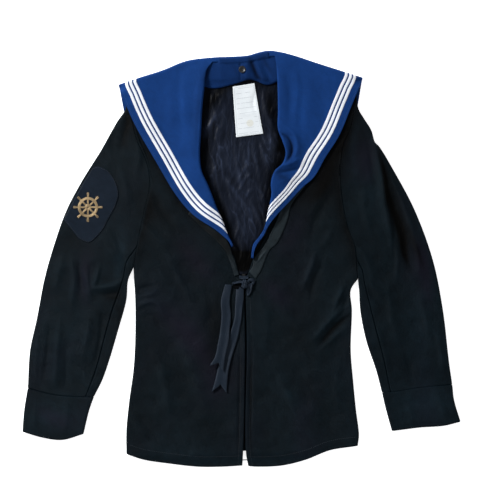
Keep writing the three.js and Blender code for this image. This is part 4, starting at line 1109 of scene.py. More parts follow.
def sleeve(side, half, away):
    plan = sleeve_plan(half, away)
    rows = shares(SLEEVE_LONG, STEP)
    fine = np.linspace(0.035, SLEEVE_SEAM, int(SLEEVE_WIDE / STEP))
    fine[-1] -= 0.0015
    fine = np.insert(fine, -1, [fine[-1] - 0.013, fine[-1] - 0.006])
    edge = [SLEEVE_SEAM + 0.0015, SLEEVE_SEAM + 0.008, SLEEVE_SEAM + 0.016]
    inner_turns = list(TOP_TURNS[::-1]) + [-turn for turn in TOP_TURNS]
    parts = {
        "top": [folded_columns(0, TOP_TURNS), flat_columns(fine, 90)],
        "under": [flat_columns(edge + [0.92, 0.95], 90), folded_columns(1, inner_turns),
                  flat_columns(np.linspace(0.96, 0.035, 30), -90),
                  folded_columns(0, [-turn for turn in TOP_TURNS[::-1]])],
    }
    for part, stack in parts.items():
        columns = np.vstack(stack)
        outer = tube(plan, columns, rows, 0)
        inner = tube(plan, columns, rows, SHELL)
        line = outer[-1:] if part == "top" else outer[:1]
        seam = np.linalg.norm(outer - line, axis=-1)
        seam = np.minimum(seam, np.minimum(rows, 1 - rows)[None, :] * SLEEVE_LONG)
        outer = rolled(outer, inner, seam)
        name = f"sleeve_{side}_{part}"
        piece = shell(name, outer, inner)
        finish_piece(piece, MATERIALS[f"sleeve_{side}"], [name], serge_painted_shading)
        declare(piece, f"sleeve_{part}")


def cuff(side, half):
    plan = patch(*(curve(half["cuff_" + edge]) for edge in ("outer", "inner", "end", "seam")))
    rows = shares(CUFF_LONG, STEP) * 0.9999
    turns = [-90, -60, -30, 0, 30, 60, 90]
    us = np.linspace(0.05, 0.95, 34)
    columns = np.vstack([folded_columns(0, turns), flat_columns(us, 90), folded_columns(1, turns[::-1]),
                         flat_columns(us[::-1], -90)])
    outer = tube(plan, columns, rows, 0, cloth_thick=CUFF_CLOTH, lift=cuff_loft)
    inner = tube(plan, columns, rows, 1.9, cloth_thick=CUFF_CLOTH, lift=cuff_loft)
    ends = np.minimum(rows, rows[-1] - rows)[None, :] * CUFF_LONG * np.ones((len(columns), 1))
    outer = rolled(outer, inner, ends, 1.6)
    name = f"cuff_{side}"
    piece = shell(name, outer, inner, wraps=True)
    finish_piece(piece, MATERIALS[f"sleeve_{side}"], [name], serge_painted_shading)
    declare(piece, "cuff")


# Collar

def fall_top(xy, t):
    """Height of the collar's upper face on the chest and shoulders, before its roll."""
    nearest = np.min([np.hypot(xy[..., 0] - x, xy[..., 1] - y) for x, y in (TOP_FOLD[0], TOP_FOLD[-1])], axis=0)
    base = ground(xy) + 2 * SERGE + LOFT + 1.0 * waves(xy, 130, 21)
    lifted = base + mix(1.4, 2.6, smoothstep(t, 0.3, 0.6)) + DRILL
    return mix(4.0, lifted, smoothstep(nearest, 0, 17))


def roll_rise(t):
    return ROLL_RISE * np.clip(t / 0.13, 0, 1) ** 0.75 * (1 - 0.6 * smoothstep(t, 0.7, 1))


class Leg:
    """One front fall of the collar, asked by share across (0 at its edge, 1 at its roll) and along."""

    def __init__(self, half, top_fold, neck, mirrored):
        self.side = "right" if mirrored else "left"
        self.towards = -1 if mirrored else 1
        edge, roll = curve(half["fall_edge"]), curve(half["roll"])

        def top(u):
            u = np.asarray(u, float)
            return top_fold(1 - u * (1 - neck)) if mirrored else top_fold(u * neck)

        self.top = top
        self.plan = patch(edge, roll, top, lambda u: mix(edge(1.0), roll(1.0), np.asarray(u, float)[..., None]))

    def spread(self, mm, t):
        """Distance from the edge of a line drawn mm from it on the wide part of the fall."""
        inset, pitch, start, end = NARROWING[self.side]
        narrow = smoothstep(t, start, end)
        inset, pitch = mix(1, inset, narrow), mix(1, pitch, narrow)
        return np.where(mm < TAPE_INSET, mm * inset, TAPE_INSET * inset + (mm - TAPE_INSET) * pitch)

    def radius(self, t):
        return np.minimum(ROLL_RADIUS, span_at(self.plan, t) * 0.3)

    def top_point(self, u, t):
        u, t = np.broadcast_arrays(np.asarray(u, float), np.asarray(t, float))
        xy = self.plan(u, t)
        away = (1 - u) * span_at(self.plan, t)
        z = fall_top(xy, t) + roll_rise(t) * (1 - smoothstep(away, ROLL_RADIUS, ROLL_REACH))
        z = z + smoothstep(t, 0.03, 0.12) * fold_height(COLLAR_CREASES, xy)
        z = z + 0.5 * smoothstep(t, 0.05, 0.2) * np.sin(t * 34) * smoothstep(-away + 60, -90, 40)
        start = 1 - smoothstep(t, 0, 0.08)
        y = xy[..., 1] - start * fold_radius(xy)
        return np.stack([xy[..., 0], y, z], -1)

    def roll_point(self, turn, t, depth):
        """The roll turns down into the opening; turn 0 is on top, 90 is upright."""
        turn, t = np.broadcast_arrays(np.asarray(turn, float), np.asarray(t, float))
        radius = self.radius(t)
        base = self.top_point(1 - radius / span_at(self.plan, t), t)
        a = np.radians(np.minimum(turn, 90))
        r = np.maximum(radius - depth, 0.35)
        out = r * np.sin(a)
        hang = np.where(turn > 90, (turn - 90) / 90, 0)
        low = mix(band_top(base[..., :2]), lining_top(base[..., :2]), smoothstep(t, 0.12, 0.2)) + 0.5
        z = base[..., 2] - radius + r * np.cos(a)
        z = mix(z, np.minimum(low, z - 0.8), hang)
        z = mix(base[..., 2] - depth, z, smoothstep(t, 0.05, 0.2))
        return np.stack([base[..., 0] + self.towards * out, base[..., 1], z], -1)

    def normal(self, u, t):
        step = 0.004
        across = self.top_point(u + step, t) - self.top_point(u - step, t)
        along = self.top_point(u, np.minimum(t + step, 1)) - self.top_point(u, np.maximum(t - step, 0.0))
        normal = np.cross(across, along)
        normal /= np.linalg.norm(normal, axis=-1, keepdims=True)
        return normal * np.sign(normal[..., 2:3])

    def surface(self, mm, t, lift):
        """A point at a distance from the edge, which goes on over the roll."""
        span, radius = span_at(self.plan, t), self.radius(t)
        flat = span - radius
        u = np.minimum(mm, flat) / span
        top = self.top_point(u, t) + lift * self.normal(np.minimum(u, 0.99), t)
        over = np.degrees(np.clip((mm - flat) / radius, 0, math.pi / 2))
        return np.where((over > 0)[..., None], self.roll_point(over, t, -lift), top)

    def line(self, mm, lift, end_mm):
        """Points at a distance from the edge: round the fold first, then down the fall to where
        a line at end_mm has gone over the roll."""
        fold = self.top(mm / float(span_at(self.plan, np.array(0.0))))
        radius = float(fold_radius(fold))
        r = radius + lift
        points = [(fold[0], fold[1] - radius + r * math.cos(turn), FLAP_UP + radius + r * math.sin(turn))
                  for turn in np.radians(np.linspace(-88, 90, 13))]
        rest = span_at(self.plan, LEG_ROWS) + 0.5 * self.radius(LEG_ROWS) - self.spread(end_mm, LEG_ROWS)
        t = LEG_ROWS[:max(3, int(np.argmax(rest < 0)) or len(LEG_ROWS))]
        return np.vstack([np.array(points), self.surface(self.spread(mm, t), t, lift)])


def band_rise(v):
    return smoothstep(v, 0, 0.3) * (1 - 0.25 * smoothstep(v, 0.75, 1))


def band_top(xy):
    """The neck band stands up, with soft slanting folds, and is turned over the collar's fold."""
    x, y = xy[..., 0], xy[..., 1]
    v = (y - 295) / 45
    slant = x - 0.42 * (331 - y)
    folds = sum(height * np.exp(-((((slant if slanted else x) - at) / wide) ** 2))
                for height, at, wide, slanted in BAND_PLEATS)
    stand = ground(xy) + SERGE + 2.8 + band_rise(v) * (2.6 + folds * (1 - 0.5 * smoothstep(v, 0.7, 0.95)))
    fold_y, radius = np.interp(x, FOLD_X, FOLD_Y), fold_radius(xy)
    past = np.clip(y - fold_y + radius, 0, radius)
    over = FLAP_UP + radius + np.sqrt(radius ** 2 - past ** 2) + 0.3
    middle = smoothstep(x, -46, -36) * (1 - smoothstep(x, 44, 52))
    share = middle * smoothstep(y, fold_y - radius - 12, fold_y - radius - 5)
    return np.maximum(stand, mix(stand - 3, over, share)) + DRILL


def fold_radius(xy):
    here = np.stack([xy[..., 0], np.interp(xy[..., 0], FOLD_X, FOLD_Y) - 6], -1)
    return (fall_top(here, np.zeros(here.shape[:-1])) - FLAP_UP) / 2


FOLD_PATH = curve(TOP_FOLD)(np.linspace(0, 1, 200))
FOLD_X, FOLD_Y = FOLD_PATH[:, 0], FOLD_PATH[:, 1]
LEG_ROWS = np.linspace(0, 1, int(FALL_LONG / STEP))[1:] ** 1.1
FALL_MM = np.array([0, 0.4, 1.0, 2, 4, 6.5, 9, 12, 14.4, 16.8, 19.4, 21.8, 24.2, 26.8, 29.2, 31.6])
ROLL_TURNS = (15, 30, 45, 60, 75, 90, 120, 150, 180)


def flap_point(fx, fy, down, depth):
    """A point of the back flap under the garment; down is 0 at the fold and 1 at its lower edge."""
    bottom = LEFT["flap_side"][0][1]
    y = mix(fy, bottom, down)
    across = (fx - TOP_FOLD[0][0]) / (TOP_FOLD[-1][0] - TOP_FOLD[0][0])
    x = mix(side_x(LEFT["flap_side"], y), side_x(RIGHT["flap_side"], y), across)
    return np.stack([x, y, FLAP_UP + depth + 0 * x], -1)


def collar():
    top_fold = curve(TOP_FOLD)
    scan = np.linspace(0, 1, 2001)

    def closest(point):
        return scan[np.linalg.norm(top_fold(scan) - np.array(point), axis=1).argmin()]

    necks = closest(LEFT["roll"][0]), closest(RIGHT["roll"][0])
    legs = Leg(LEFT, top_fold, necks[0], False), Leg(RIGHT, top_fold, necks[1], True)
    flap_rows = np.linspace(1, 0, 56)
    arc_turns = np.radians(np.linspace(-90, 90, 13))[1:]
    inner_count = 30

    def across_leg(leg, t):
        """Shares of every column of a leg at one station, as a row."""
        span = span_at(leg.plan, t)
        room = (span - leg.radius(t)) * 0.8
        near = FALL_MM * np.minimum(1, room / FALL_MM[-1]) / span
        far = np.linspace(near[-1], 1 - leg.radius(t) / span, inner_count + 1)[1:]
        return np.concatenate([near, far])

    gutter = 0.0045
    middle_count = 36
    left_top = necks[0] * across_leg(legs[0], np.array(0.0))
    right_top = 1 - (1 - necks[1]) * across_leg(legs[1], np.array(0.0))
    left_turns = left_top[-1] + gutter * np.arange(1, len(ROLL_TURNS) + 1)
    right_turns = right_top[-1] - gutter * np.arange(1, len(ROLL_TURNS) + 1)
    middle = np.linspace(left_turns[-1], right_turns[-1], middle_count + 1)[1:-1]
    along = np.concatenate([left_top, left_turns, middle, right_turns[::-1], right_top[::-1]])
    fold = top_fold(along)
    radius = fold_radius(fold)
    leg_columns = len(left_top)
    side_columns = leg_columns + len(ROLL_TURNS)
    grids = []
    for depth in (0.0, DRILL):
        columns = []
        for down in flap_rows:
            columns.append(flap_point(fold[:, 0], fold[:, 1] - radius, down, depth))
        for turn in arc_turns:
            r = radius - depth
            columns.append(np.stack([fold[:, 0], fold[:, 1] - radius + r * math.cos(turn),
                                     FLAP_UP + radius + r * math.sin(turn)], -1))
        for t in LEG_ROWS:
            row = np.stack([fold[:, 0], fold[:, 1] - radius - 5 * min(1, t / LEG_ROWS[1]),
                            FLAP_UP + 2 * radius - depth], -1)
            for leg, columns_of, turns_of in (
                (legs[0], slice(0, leg_columns), slice(leg_columns, side_columns)),
                (legs[1], slice(len(along) - 1, len(along) - 1 - leg_columns, -1),
                 slice(len(along) - 1 - leg_columns, len(along) - 1 - side_columns, -1)),
            ):
                us = across_leg(leg, np.array(t))
                point = leg.top_point(us, np.full(len(us), t))
                point[:, 2] -= depth
                row[columns_of] = point
                row[turns_of] = leg.roll_point(np.array(ROLL_TURNS, float), np.full(len(ROLL_TURNS), t), depth)
            columns.append(row)
        grids.append(np.stack(columns, 1))
    outer, inner = grids
    # Row order: flap from its lower edge to the fold, the fold, then the falls to their tips
    fold_row = len(flap_rows) + len(arc_turns) - 1
    live = np.ones((outer.shape[0] - 1, outer.shape[1] - 1), bool)
    live[side_columns - 1:len(along) - side_columns, fold_row + 2:] = False
    piece = shell("collar", outer, inner, live)
    finish_piece(piece, MATERIALS["collar"], ["collar"], collar_painted_shading)
    return piece, legs


def tapes(legs):
    made = []
    profile = ((0, 0.02), (0.0, 0.4), (0.35, TAPE), (TAPE_WIDTH / 2, TAPE + 0.08), (TAPE_WIDTH - 0.35, TAPE),
               (TAPE_WIDTH, 0.4), (TAPE_WIDTH, 0.02))
    for leg in legs:
        for number in range(TAPE_COUNT):
            start = TAPE_INSET + number * TAPE_PITCH
            points = np.stack([leg.line(start + mm, lift, start) for mm, lift in profile], 1)
            name = f"collar_tape_{leg.side}_{number + 1}"
            piece = solid(name, points.reshape(-1, 3), ring_faces(len(points), len(profile)))
            made.append(finish_piece(piece, MATERIALS["tape"], [name]))
    return made


def laid(name, plan, us, vs, thick, height, radius=0.5):
    """A thin sheet that lies on a surface, its edges rolled down."""
    u, v = np.meshgrid(us, vs, indexing="ij")
    xy = plan(u, v)
    z = height(xy, u, v)
    inner = np.concatenate([xy, z[..., None]], -1)
    outer = np.concatenate([xy, (z + thick)[..., None]], -1)
    span = span_at(plan, vs)[None, :]
    length = np.linalg.norm(plan(0.5, 1.0) - plan(0.5, 0.0))
    edge = np.minimum(np.minimum(u, 1 - u) * span, np.minimum(v, 1 - v) * length)
    return shell(name, rolled(outer, inner, edge, radius), inner)


def stitches(name, path, length, gap, width, material):
    """Single stitches along a run of points, each a small rounded spindle."""
    path = np.asarray(path, float)
    run = np.concatenate([[0], np.cumsum(np.linalg.norm(np.diff(path, axis=0), axis=1))])
    starts = np.arange(gap / 2, run[-1] - length, length + gap)

    def at(s):
        return np.stack([np.interp(s, run, path[:, k]) for k in range(3)], -1)

    a, b = at(starts), at(starts + length)
    middle = at(starts + length / 2)
    way = (b - a) / np.linalg.norm(b - a, axis=1, keepdims=True)
    side = np.cross(way, [0.0, 0.0, 1.0])
    side /= np.linalg.norm(side, axis=1, keepdims=True)
    rise = np.cross(side, way)
    half = width / 2
    rings = []
    for centre, scale in ((mix(a, middle, 0.3), 0.85), (middle, 1.0), (mix(b, middle, 0.3), 0.85)):
        for s, r in ((1, 0), (0, 1), (-1, 0), (0, -1)):
            rings.append(centre + scale * half * (s * side + r * rise))
    points = np.stack([a] + rings + [b], 1)
    faces = []
    for tip in range(0, 14 * len(starts), 14):
        faces += ring_faces(3, 4, tip + 1, capped=False)
        for q in range(4):
            n = (q + 1) % 4
            faces += [(tip, tip + 1 + n, tip + 1 + q), (tip + 9 + q, tip + 9 + n, tip + 13)]
    return finish_piece(solid(name, points.reshape(-1, 3), faces), MATERIALS[material])


def on_chest(xy, up=0.1):
    xy = np.asarray(xy, float)
    return np.concatenate([xy, (chest_top(xy) + up)[..., None]], -1)


def inside_pieces():
    def height(xy, u, v):
        shown = smoothstep(np.minimum(u, 1 - u), 0.08, 0.22) * smoothstep(1 - v, 0.1, 0.16)
        return ground(xy) + SERGE + 0.6 + shown * np.maximum(0, lining_relief(xy))

    across, along = np.linspace(0, 1, 74), np.linspace(0, 1, 140)
    lining = laid("lining_back", table_patch(LINING), across, along, SATIN, height)
    finish_piece(lining, MATERIALS["lining"], ["lining_back"], lining_painted_shading)
    declare(lining, "lining")

    label = laid("label", table_patch(LABEL), shares(42, 2), shares(90, 2), 0.5,
                 lambda xy, u, v: ground(xy) + SERGE + 0.6 + SATIN + 2.0 + 0.5 * waves(xy, 40, 31)
                 + 0.5 * fold_height(LABEL_CREASES, xy))
    finish_piece(label, label_material(), ["label"], label_rims)
    declare(label, "label")

    band = laid("neck_band", table_patch(BAND), np.linspace(0, 1, 90), np.linspace(0, 1, 26), DRILL,
                lambda xy, u, v: band_top(xy) - DRILL, 0.9)
    finish_piece(band, MATERIALS["collar"], ["neck_band"], band_painted_shading)
    declare(band, "band")


LABEL_TURN = math.radians(-8)
LABEL_LINE = 8.5
RULED_FROM = 4.5      # how far from the label's edge the ruled lines, and its border, lie
BORDER_FROM = 2.0
BORDER_TO = 2.5
STAIN_AT = (14.5, 231, 7)


def label_material():
    """White woven label: a thin printed border, plain ruled lines and a faint stain."""
    material, tree, shader = tree_of("label_cloth")
    fine = noise(tree, placed(tree, (0.7, 0.7, 0.7)), detail=2)
    paper = ramp(tree, fine, [(0.3, (0.62, 0.66, 0.68)), (0.7, (0.74, 0.77, 0.78))])
    place = node(tree, "ShaderNodeTexCoord").outputs["Object"]
    turn = node(tree, "ShaderNodeMapping", Vector=place, Rotation=(0, 0, LABEL_TURN))
    split = node(tree, "ShaderNodeSeparateXYZ", Vector=turn.outputs["Vector"])
    line = maths(tree, "FRACT", maths(tree, "MULTIPLY", split.outputs[1], 1000 / LABEL_LINE))
    ruled = maths(tree, "LESS_THAN", line, 0.07)
    broken = maths(tree, "GREATER_THAN", noise(tree, placed(tree, (12, 4, 4)), detail=0), 0.42)
    rim = maths(tree, "MULTIPLY", kept(tree, "rim"), float(RIM_UNIT))
    ruled = maths(tree, "MULTIPLY", maths(tree, "MULTIPLY", ruled, broken),
                  maths(tree, "GREATER_THAN", rim, RULED_FROM))
    frame_line = maths(tree, "MULTIPLY", maths(tree, "GREATER_THAN", rim, BORDER_FROM),
                       maths(tree, "LESS_THAN", rim, BORDER_TO))
    ink = maths(tree, "MULTIPLY", maths(tree, "MAXIMUM", ruled, frame_line), 0.5)
    printed = blended(tree, ink, paper, (0.16, 0.18, 0.21))
    spot = node(tree, "ShaderNodeVectorMath", operation="DISTANCE")
    feed(tree, spot.inputs[0], place)
    feed(tree, spot.inputs[1], tuple((np.array(STAIN_AT) + SHIFT) / 1000))
    stain_size = maths(tree, "ADD", spot.outputs["Value"], maths(tree, "MULTIPLY", fine, 0.003))
    stain = maths(tree, "MULTIPLY", maths(tree, "LESS_THAN", stain_size, 0.0075), 0.28)
    bump(tree, shader, [(fine, 0.4, 0.12)])
    coat(tree, shader, {"Base Color": blended(tree, stain, printed, (0.5, 0.42, 0.2)), "Roughness": 0.75})
    return material


def button():
    """A small black four-hole button with a raised rim, and its thread."""
    x, y = BUTTON_AT
    z = float(band_top(np.array([[x, y]], float))[0]) + 0.5
    # Radius and height round the rim, from the sunk middle over the rim to the underside
    profile = [(4.3, 0.4), (4.8, 1.3), (5.5, 1.7), (6, 1.1), (5.9, 0.3), (5.0, -0.4)]
    count = 40
    turns = [2 * math.pi * k / count for k in range(count)]
    points = [(x + r * math.cos(a), y + r * math.sin(a), z + h) for r, h in profile for a in turns]
    top, last = len(points), len(points) - count
    points += [(x, y, z + 0.4), (x, y, z - 0.5)]
    faces = ring_faces(len(profile), count, capped=False)
    for k in range(count):
        n = (k + 1) % count
        faces += [(top, n, k), (top + 1, last + k, last + n)]
    finish_piece(solid("neck_button", points, faces), MATERIALS["button"], ["neck_button"])
    for k, (dx, dy) in enumerate(((1, 1), (1, -1), (-1, -1), (-1, 1))):
        path = [(x + 1.3 * dx, y + 1.3 * dy, z + 0.35), (x + 0.65 * (dx + dy), y + 0.65 * (dy - dx), z + 0.9),
                (x + 1.3 * dy, y - 1.3 * dx, z + 0.35)]
        stitches(f"button_thread_{k}", path, 2.2, 0.2, 0.7, "dark_thread")


def ribbon_tail(name, table, lift, rows=20, material="ribbon", notched=False):
    """A ribbon on the chest, cupped and twisted a little; a notched end is cut to two points."""
    plan = strip(curve(table["left"]), curve(table["right"]))
    vs = np.linspace(0, 1, rows)
    u, v = np.meshgrid(np.linspace(0, 1, 17), vs, indexing="ij")
    if notched:
        v = v * (1 - TAIL_NOTCH * (1 - np.abs(2 * u - 1)))
    xy = plan(u, v)
    lengthwise = 0.8 * np.sin(np.pi * u) + 0.7 * np.sin(2 * np.pi * (u + 0.15)) * smoothstep(v, 0.05, 0.3)
    twist = 0.9 * np.sin(v * 9 + 1) * (u - 0.5)
    z = chest_top(xy) + lift(v) + 0.8 + lengthwise * 0.8 + twist
    z = np.maximum(z, chest_top(xy) + lift(v) * 0.8 + 0.25)
    inner = np.concatenate([xy, z[..., None]], -1)
    outer = inner + np.array([0, 0, RIBBON])
    span = span_at(plan, vs)[None, :]
    edge = np.minimum(u, 1 - u) * span
    piece = shell(name, rolled(outer, inner, edge, 0.4), inner)
    return finish_piece(piece, MATERIALS[material], [name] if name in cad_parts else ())


def turned(points, angle):
    """Points turned about the upright axis."""
    x, y = points[..., 0], points[..., 1]
    ahead, aside = math.cos(angle), math.sin(angle)
    return np.concatenate([np.stack([x * ahead - y * aside, x * aside + y * ahead], -1), points[..., 2:]], -1)


def knot():
    """The knot: a wrap of ribbon round the crossed strands."""
    x, y = KNOT_AT
    z = float(chest_top(np.array([[x, y]], float))[0]) + 4.4
    count, rings = 72, 40
    points = []
    for a in range(rings + 1):
        lat = math.pi * a / rings - math.pi / 2
        for b in range(count):
            lon = 2 * math.pi * b / count
            px, py, pz = math.cos(lat) * math.cos(lon), math.cos(lat) * math.sin(lon), math.sin(lat)
            wrap = 1 + 0.10 * math.cos(7 * py + 3.2 * px + 0.6) * (1 - py * py) + 0.05 * math.sin(9 * px - 2 * py)
            box = (abs(px) ** 3 + abs(py) ** 3 + abs(pz) ** 3) ** (-1 / 3)
            points.append((4.9 * px * wrap * box, 7.6 * py * wrap * box, 3.7 * pz * wrap * box))
    points = turned(np.array(points), KNOT_TURN)
    piece = solid("tie_knot", points + np.array([x, y, z]), ring_faces(rings + 1, count))
    return finish_piece(piece, MATERIALS["ribbon"], ["tie_knot"])


def ribbon_ring(name, centre, radii, reach, turn):
    """A small loop of ribbon seen on its edge: an open ring, higher on its far side."""
    count, sides = 60, 14
    a, b = np.meshgrid(np.linspace(0, 2 * math.pi, count, endpoint=False),
                       np.linspace(0, 2 * math.pi, sides, endpoint=False), indexing="ij")
    out = 1 + reach * np.cos(b) / np.mean(radii) * (1 + 0.25 * np.sin(2 * a + 1))
    xy = np.array(centre) + turned(np.stack([radii[0] * np.cos(a) * out, radii[1] * np.sin(a) * out], -1), turn)
    z = chest_top(xy) + 2.4 + 0.6 * np.sin(a) + 1.7 * np.sin(b) + 0.3 * np.sin(3 * a)
    points = np.concatenate([xy, z[..., None]], -1)
    faces = [(i * sides + j, i * sides + (j + 1) % sides, (i + 1) % count * sides + (j + 1) % sides,
              (i + 1) % count * sides + j) for i in range(count) for j in range(sides)]
    return finish_piece(solid(name, points.reshape(-1, 3), faces), MATERIALS["ribbon"])


def facing(side, half):
    plan = strip(curve(half["facing_outer"]), curve(half["facing_inner"]))
    piece = laid(f"facing_{side}", plan, np.linspace(0, 1, 16), np.linspace(0, 1, 80), RIBBON,
                 lambda xy, u, v: chest_top(xy) + 0.4 + np.maximum(0, fold_height(FACING_CREASES, xy))
                 + 0.25 * waves(xy, 18, 41))
    finish_piece(piece, MATERIALS["facing"], [f"facing_{side}"], facing_painted_shading)
    declare(piece, f"facing_{side}")


def bullion(path, radius, twist=1.1, sides=10):
    """A coil of wire laid along a path: the rings of a tube with a fine screw thread."""
    path = np.asarray(path, float)
    run = np.concatenate([[0], np.cumsum(np.linalg.norm(np.diff(path, axis=0), axis=1))])
    count = max(6, int(run[-1] / 0.3))
    s = np.linspace(0, run[-1], count)
    line = np.stack([np.interp(s, run, path[:, k]) for k in (0, 1)], -1)
    way = np.gradient(line, axis=0)
    way /= np.linalg.norm(way, axis=1, keepdims=True)
    side = np.stack([-way[:, 1], way[:, 0]], -1)
    a = np.linspace(0, 2 * math.pi, sides, endpoint=False)[None, :]
    k = np.arange(count)
    end = np.minimum(1, 0.4 + np.minimum(k, count - 1 - k) / 3)[:, None]
    r = radius * (1 + 0.16 * np.sin(2 * math.pi * s[:, None] / twist + a)) * end
    xy = line[:, None, :] + side[:, None, :] * (r * np.cos(a))[..., None]
    z = (chest_top(line) + 1.3 + 0.55 * radius)[:, None] + r * 0.75 * np.sin(a)
    return np.concatenate([xy, z[..., None]], -1)


def badge():
    """The patch with its stitched edge, and a ship's wheel of wire: rim, hub, eight spokes and grips."""
    plan = table_patch(PATCH)
    piece = laid("badge_patch", plan, np.linspace(0, 1, 50), np.linspace(0, 1, 70), 1.0,
                 lambda xy, u, v: chest_top(xy) + 0.3, 1.0)
    finish_piece(piece, MATERIALS["patch"], ["badge_patch"])
    declare(piece, "patch")

    up, over = np.linspace(0.03, 0.98, 30), np.linspace(0.02, 0.98, 16)
    inset = np.concatenate([plan(0.02, up), plan(over, 0.985), plan(0.98, up[::-1]), plan(over[::-1], 0.015)])
    stitches("badge_stitch", np.concatenate([inset, (chest_top(inset) + 1.25)[:, None]], -1), 2.2, 0.8, 0.5,
             "dark_thread")

    middle = np.array(WHEEL_AT)
    coils = []
    for radius, wire in WHEEL_RINGS:
        a = np.linspace(radius, radius + 2 * math.pi, 60)
        coils.append(bullion(middle + radius * np.stack([np.cos(a), np.sin(a)], -1), wire))
    for k in range(WHEEL_SPOKES):
        a = 2 * math.pi * k / WHEEL_SPOKES
        way, across = np.array([math.cos(a), math.sin(a)]), np.array([-math.sin(a), math.cos(a)])
        for shift in (-0.75, 0.75):
            for spoke in (WHEEL_SPOKE, WHEEL_GRIP):
                coils.append(bullion([middle + way * r + across * shift * w for r, w in spoke], 0.75))
    faces, base = [], 0
    for coil in coils:
        faces += ring_faces(coil.shape[0], coil.shape[1], base)
        base += coil.shape[0] * coil.shape[1]
    wheel = solid("badge_wheel", np.vstack([coil.reshape(-1, 3) for coil in coils]), faces)
    finish_piece(wheel, MATERIALS["wire"], ["badge_wheel"])


def zip_and_bar():
    for name, material in (("zip_tape", "zip"), ("zip_slider", "teeth")):
        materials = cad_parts[name].data.materials
        materials.clear()
        materials.append(MATERIALS[material])
    x, y = BAR_AT
    z = float(chest_top(np.array([[x - 3.5, y]], float))[0])
    points, faces = [], []
    strands, rings, sides, radius, length = 9, 9, 6, 0.22, 9.2
    for k in range(strands):
        faces += ring_faces(rings, sides, len(points))
        for s in np.linspace(0, 1, rings):
            for a in np.linspace(0, 2 * math.pi, sides, endpoint=False):
                points.append((x + length * (s - 0.5), y + (k - strands / 2) * 0.16 + radius * math.cos(a),
                               z + 0.35 + 0.25 * math.sin(math.pi * s) + radius * math.sin(a)))
    finish_piece(solid("bar_tack", points, faces), MATERIALS["dark_thread"], ["bar_tack"])


def sewing(legs, plans):
    """Runs of topstitching along the slit, hem, collar and tapes."""
    v, u = np.linspace(0.004, 0.47, 160), np.linspace(0.03, 0.985, 70)
    for side, plan in plans.items():
        slit, hem = plan(1 - 7.5 / span_at(plan, v), v), plan(u, np.full_like(u, 0.028))
        stitches(f"slit_stitch_{side}", on_chest(slit, 0.02), 2.4, 0.9, 0.42, "dark_thread")
        stitches(f"hem_stitch_{side}", on_chest(hem, 0.02), 2.4, 0.9, 0.4, "dark_thread")
    for leg in legs:
        runs = [("edge", 3.0, "blue_thread", "collar_blue", 0.05)]
        for number in range(TAPE_COUNT):
            start = TAPE_INSET + number * TAPE_PITCH
            for row, mm in (("a", start + 0.75), ("b", start + TAPE_WIDTH - 0.75)):
                runs.append((f"tape{number + 1}{row}", mm, "white_thread", "tape_white", TAPE + 0.02))
        for label, mm, thread, slot, lift in runs:
            stitches(f"collar_stitch_{leg.side}_{label}", leg.line(mm, lift, mm)[7:], 1.9, 0.7, 0.34,
                     thread)


# Metres
FLOOR_HALF, FLOOR_AT = 30.0, -0.0006
CAMERA_UP, VIEW_UP, VIEW_WIDE = 3.2, 0.008, 0.85
# Millimetres, in the garment's plane
VIEW_CENTRE = (14.45, 15.3)


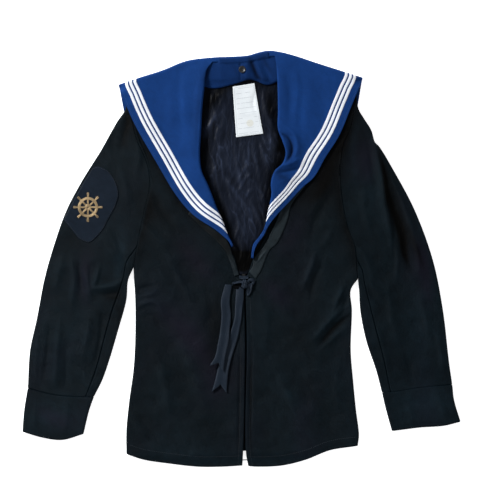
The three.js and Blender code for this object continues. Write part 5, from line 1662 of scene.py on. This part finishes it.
def stage_and_camera():
    size, z = FLOOR_HALF, FLOOR_AT
    mesh = bpy.data.meshes.new("floor")
    corners = [(-size, -size, z), (size, -size, z), (size, size, z), (-size, size, z)]
    mesh.from_pydata(corners, [], [(0, 1, 2, 3)])
    floor = bpy.data.objects.new("floor", mesh)
    bpy.context.scene.collection.objects.link(floor)
    material, tree, shader = tree_of("pale_floor")
    coat(tree, shader, {"Base Color": (0.93, 0.93, 0.93), "Roughness": 0.9, "Specular IOR Level": 0.0,
                        "Emission Color": (1, 1, 1), "Emission Strength": 0.8})
    mesh.materials.append(material)

    world = bpy.data.worlds.new("studio")
    world.use_nodes = True
    # Bright all round and dark overhead, so that flat cloth stays deep and its folds gleam
    tree = world.node_tree
    split = node(tree, "ShaderNodeSeparateXYZ", Vector=node(tree, "ShaderNodeTexCoord").outputs["Generated"])
    sky = ramp(tree, split.outputs[2], [(0.6, (0.95, 0.97, 1.0)), (0.86, (0.03, 0.03, 0.035))])
    coat(tree, tree.nodes["Background"], {"Color": sky, "Strength": 0.75})
    bpy.context.scene.world = world

    def lamp(name, place, size, power, colour):
        data = bpy.data.lights.new(name, "AREA")
        data.shape = "DISK"
        data.size = size
        data.energy = power
        data.color = colour
        made = bpy.data.objects.new(name, data)
        made.location = place
        made.rotation_euler = (-Vector(place)).to_track_quat("-Z", "Y").to_euler()
        bpy.context.scene.collection.objects.link(made)

    lamp("key", (-2.9, 2.2, 1.9), 0.85, 262, (0.98, 0.985, 1.0))
    lamp("fill", (1.6, -1.4, 1.3), 1.2, 6, (0.95, 0.97, 1.0))

    data = bpy.data.cameras.new("camera")
    data.sensor_width = 36
    data.lens = data.sensor_width * (CAMERA_UP - VIEW_UP) / VIEW_WIDE
    camera = bpy.data.objects.new("camera", data)
    camera.location = ((VIEW_CENTRE[0] + SHIFT[0]) / 1000, (VIEW_CENTRE[1] + SHIFT[1]) / 1000, CAMERA_UP)
    bpy.context.scene.collection.objects.link(camera)
    bpy.context.scene.camera = camera
    bpy.context.scene.view_settings.view_transform = "Standard"


stage_and_camera()
back()
plans = {"left": front("front_left", LEFT), "right": front("front_right", RIGHT)}
for side, half, away in (("left", LEFT, -1), ("right", RIGHT, 1)):
    sleeve(side, half, away)
for side, half in (("left", LEFT), ("right", RIGHT)):
    cuff(side, half)
collar_piece, legs = collar()
declare(collar_piece, "collar", tapes(legs))
inside_pieces()
button()
facing("left", LEFT)
facing("right", RIGHT)
badge()
tails = [
    ribbon_tail("tie_tail_back", TAIL_BACK, lambda v: 0.3 + 0 * v, rows=60, notched=True),
    ribbon_tail("tie_tail_front", TAIL_FRONT, lambda v: mix(0.4, 3.6, smoothstep(v, 0.3, 0.55)), rows=60,
                notched=True),
]
bow = [
    ribbon_tail("tie_stub_right", STUB, lambda v: 0.4 + 2.0 * v),
    ribbon_tail("tie_loop_left", LOOP, lambda v: 2.2 + 1.5 * v),
    # Painted shadow: a near-black strip in the zip's cloth fills the left loop's hollow
    ribbon_tail("tie_loop_under", LOOP_SHADOW_STRIP, lambda v: 0.3 + 0 * v, material="zip"),
    ribbon_ring("tie_loop_right", (15.5, -39.5), (4.4, 4.2), 2.7, 0.5),
    ribbon_tail("tie_crossing", BAR, lambda v: 0.8 + 0 * v),
    knot(),
]
declare(tails[0], "tail_back", bow)
declare(tails[1], "tail_front")
zip_and_bar()
sewing(legs, plans)
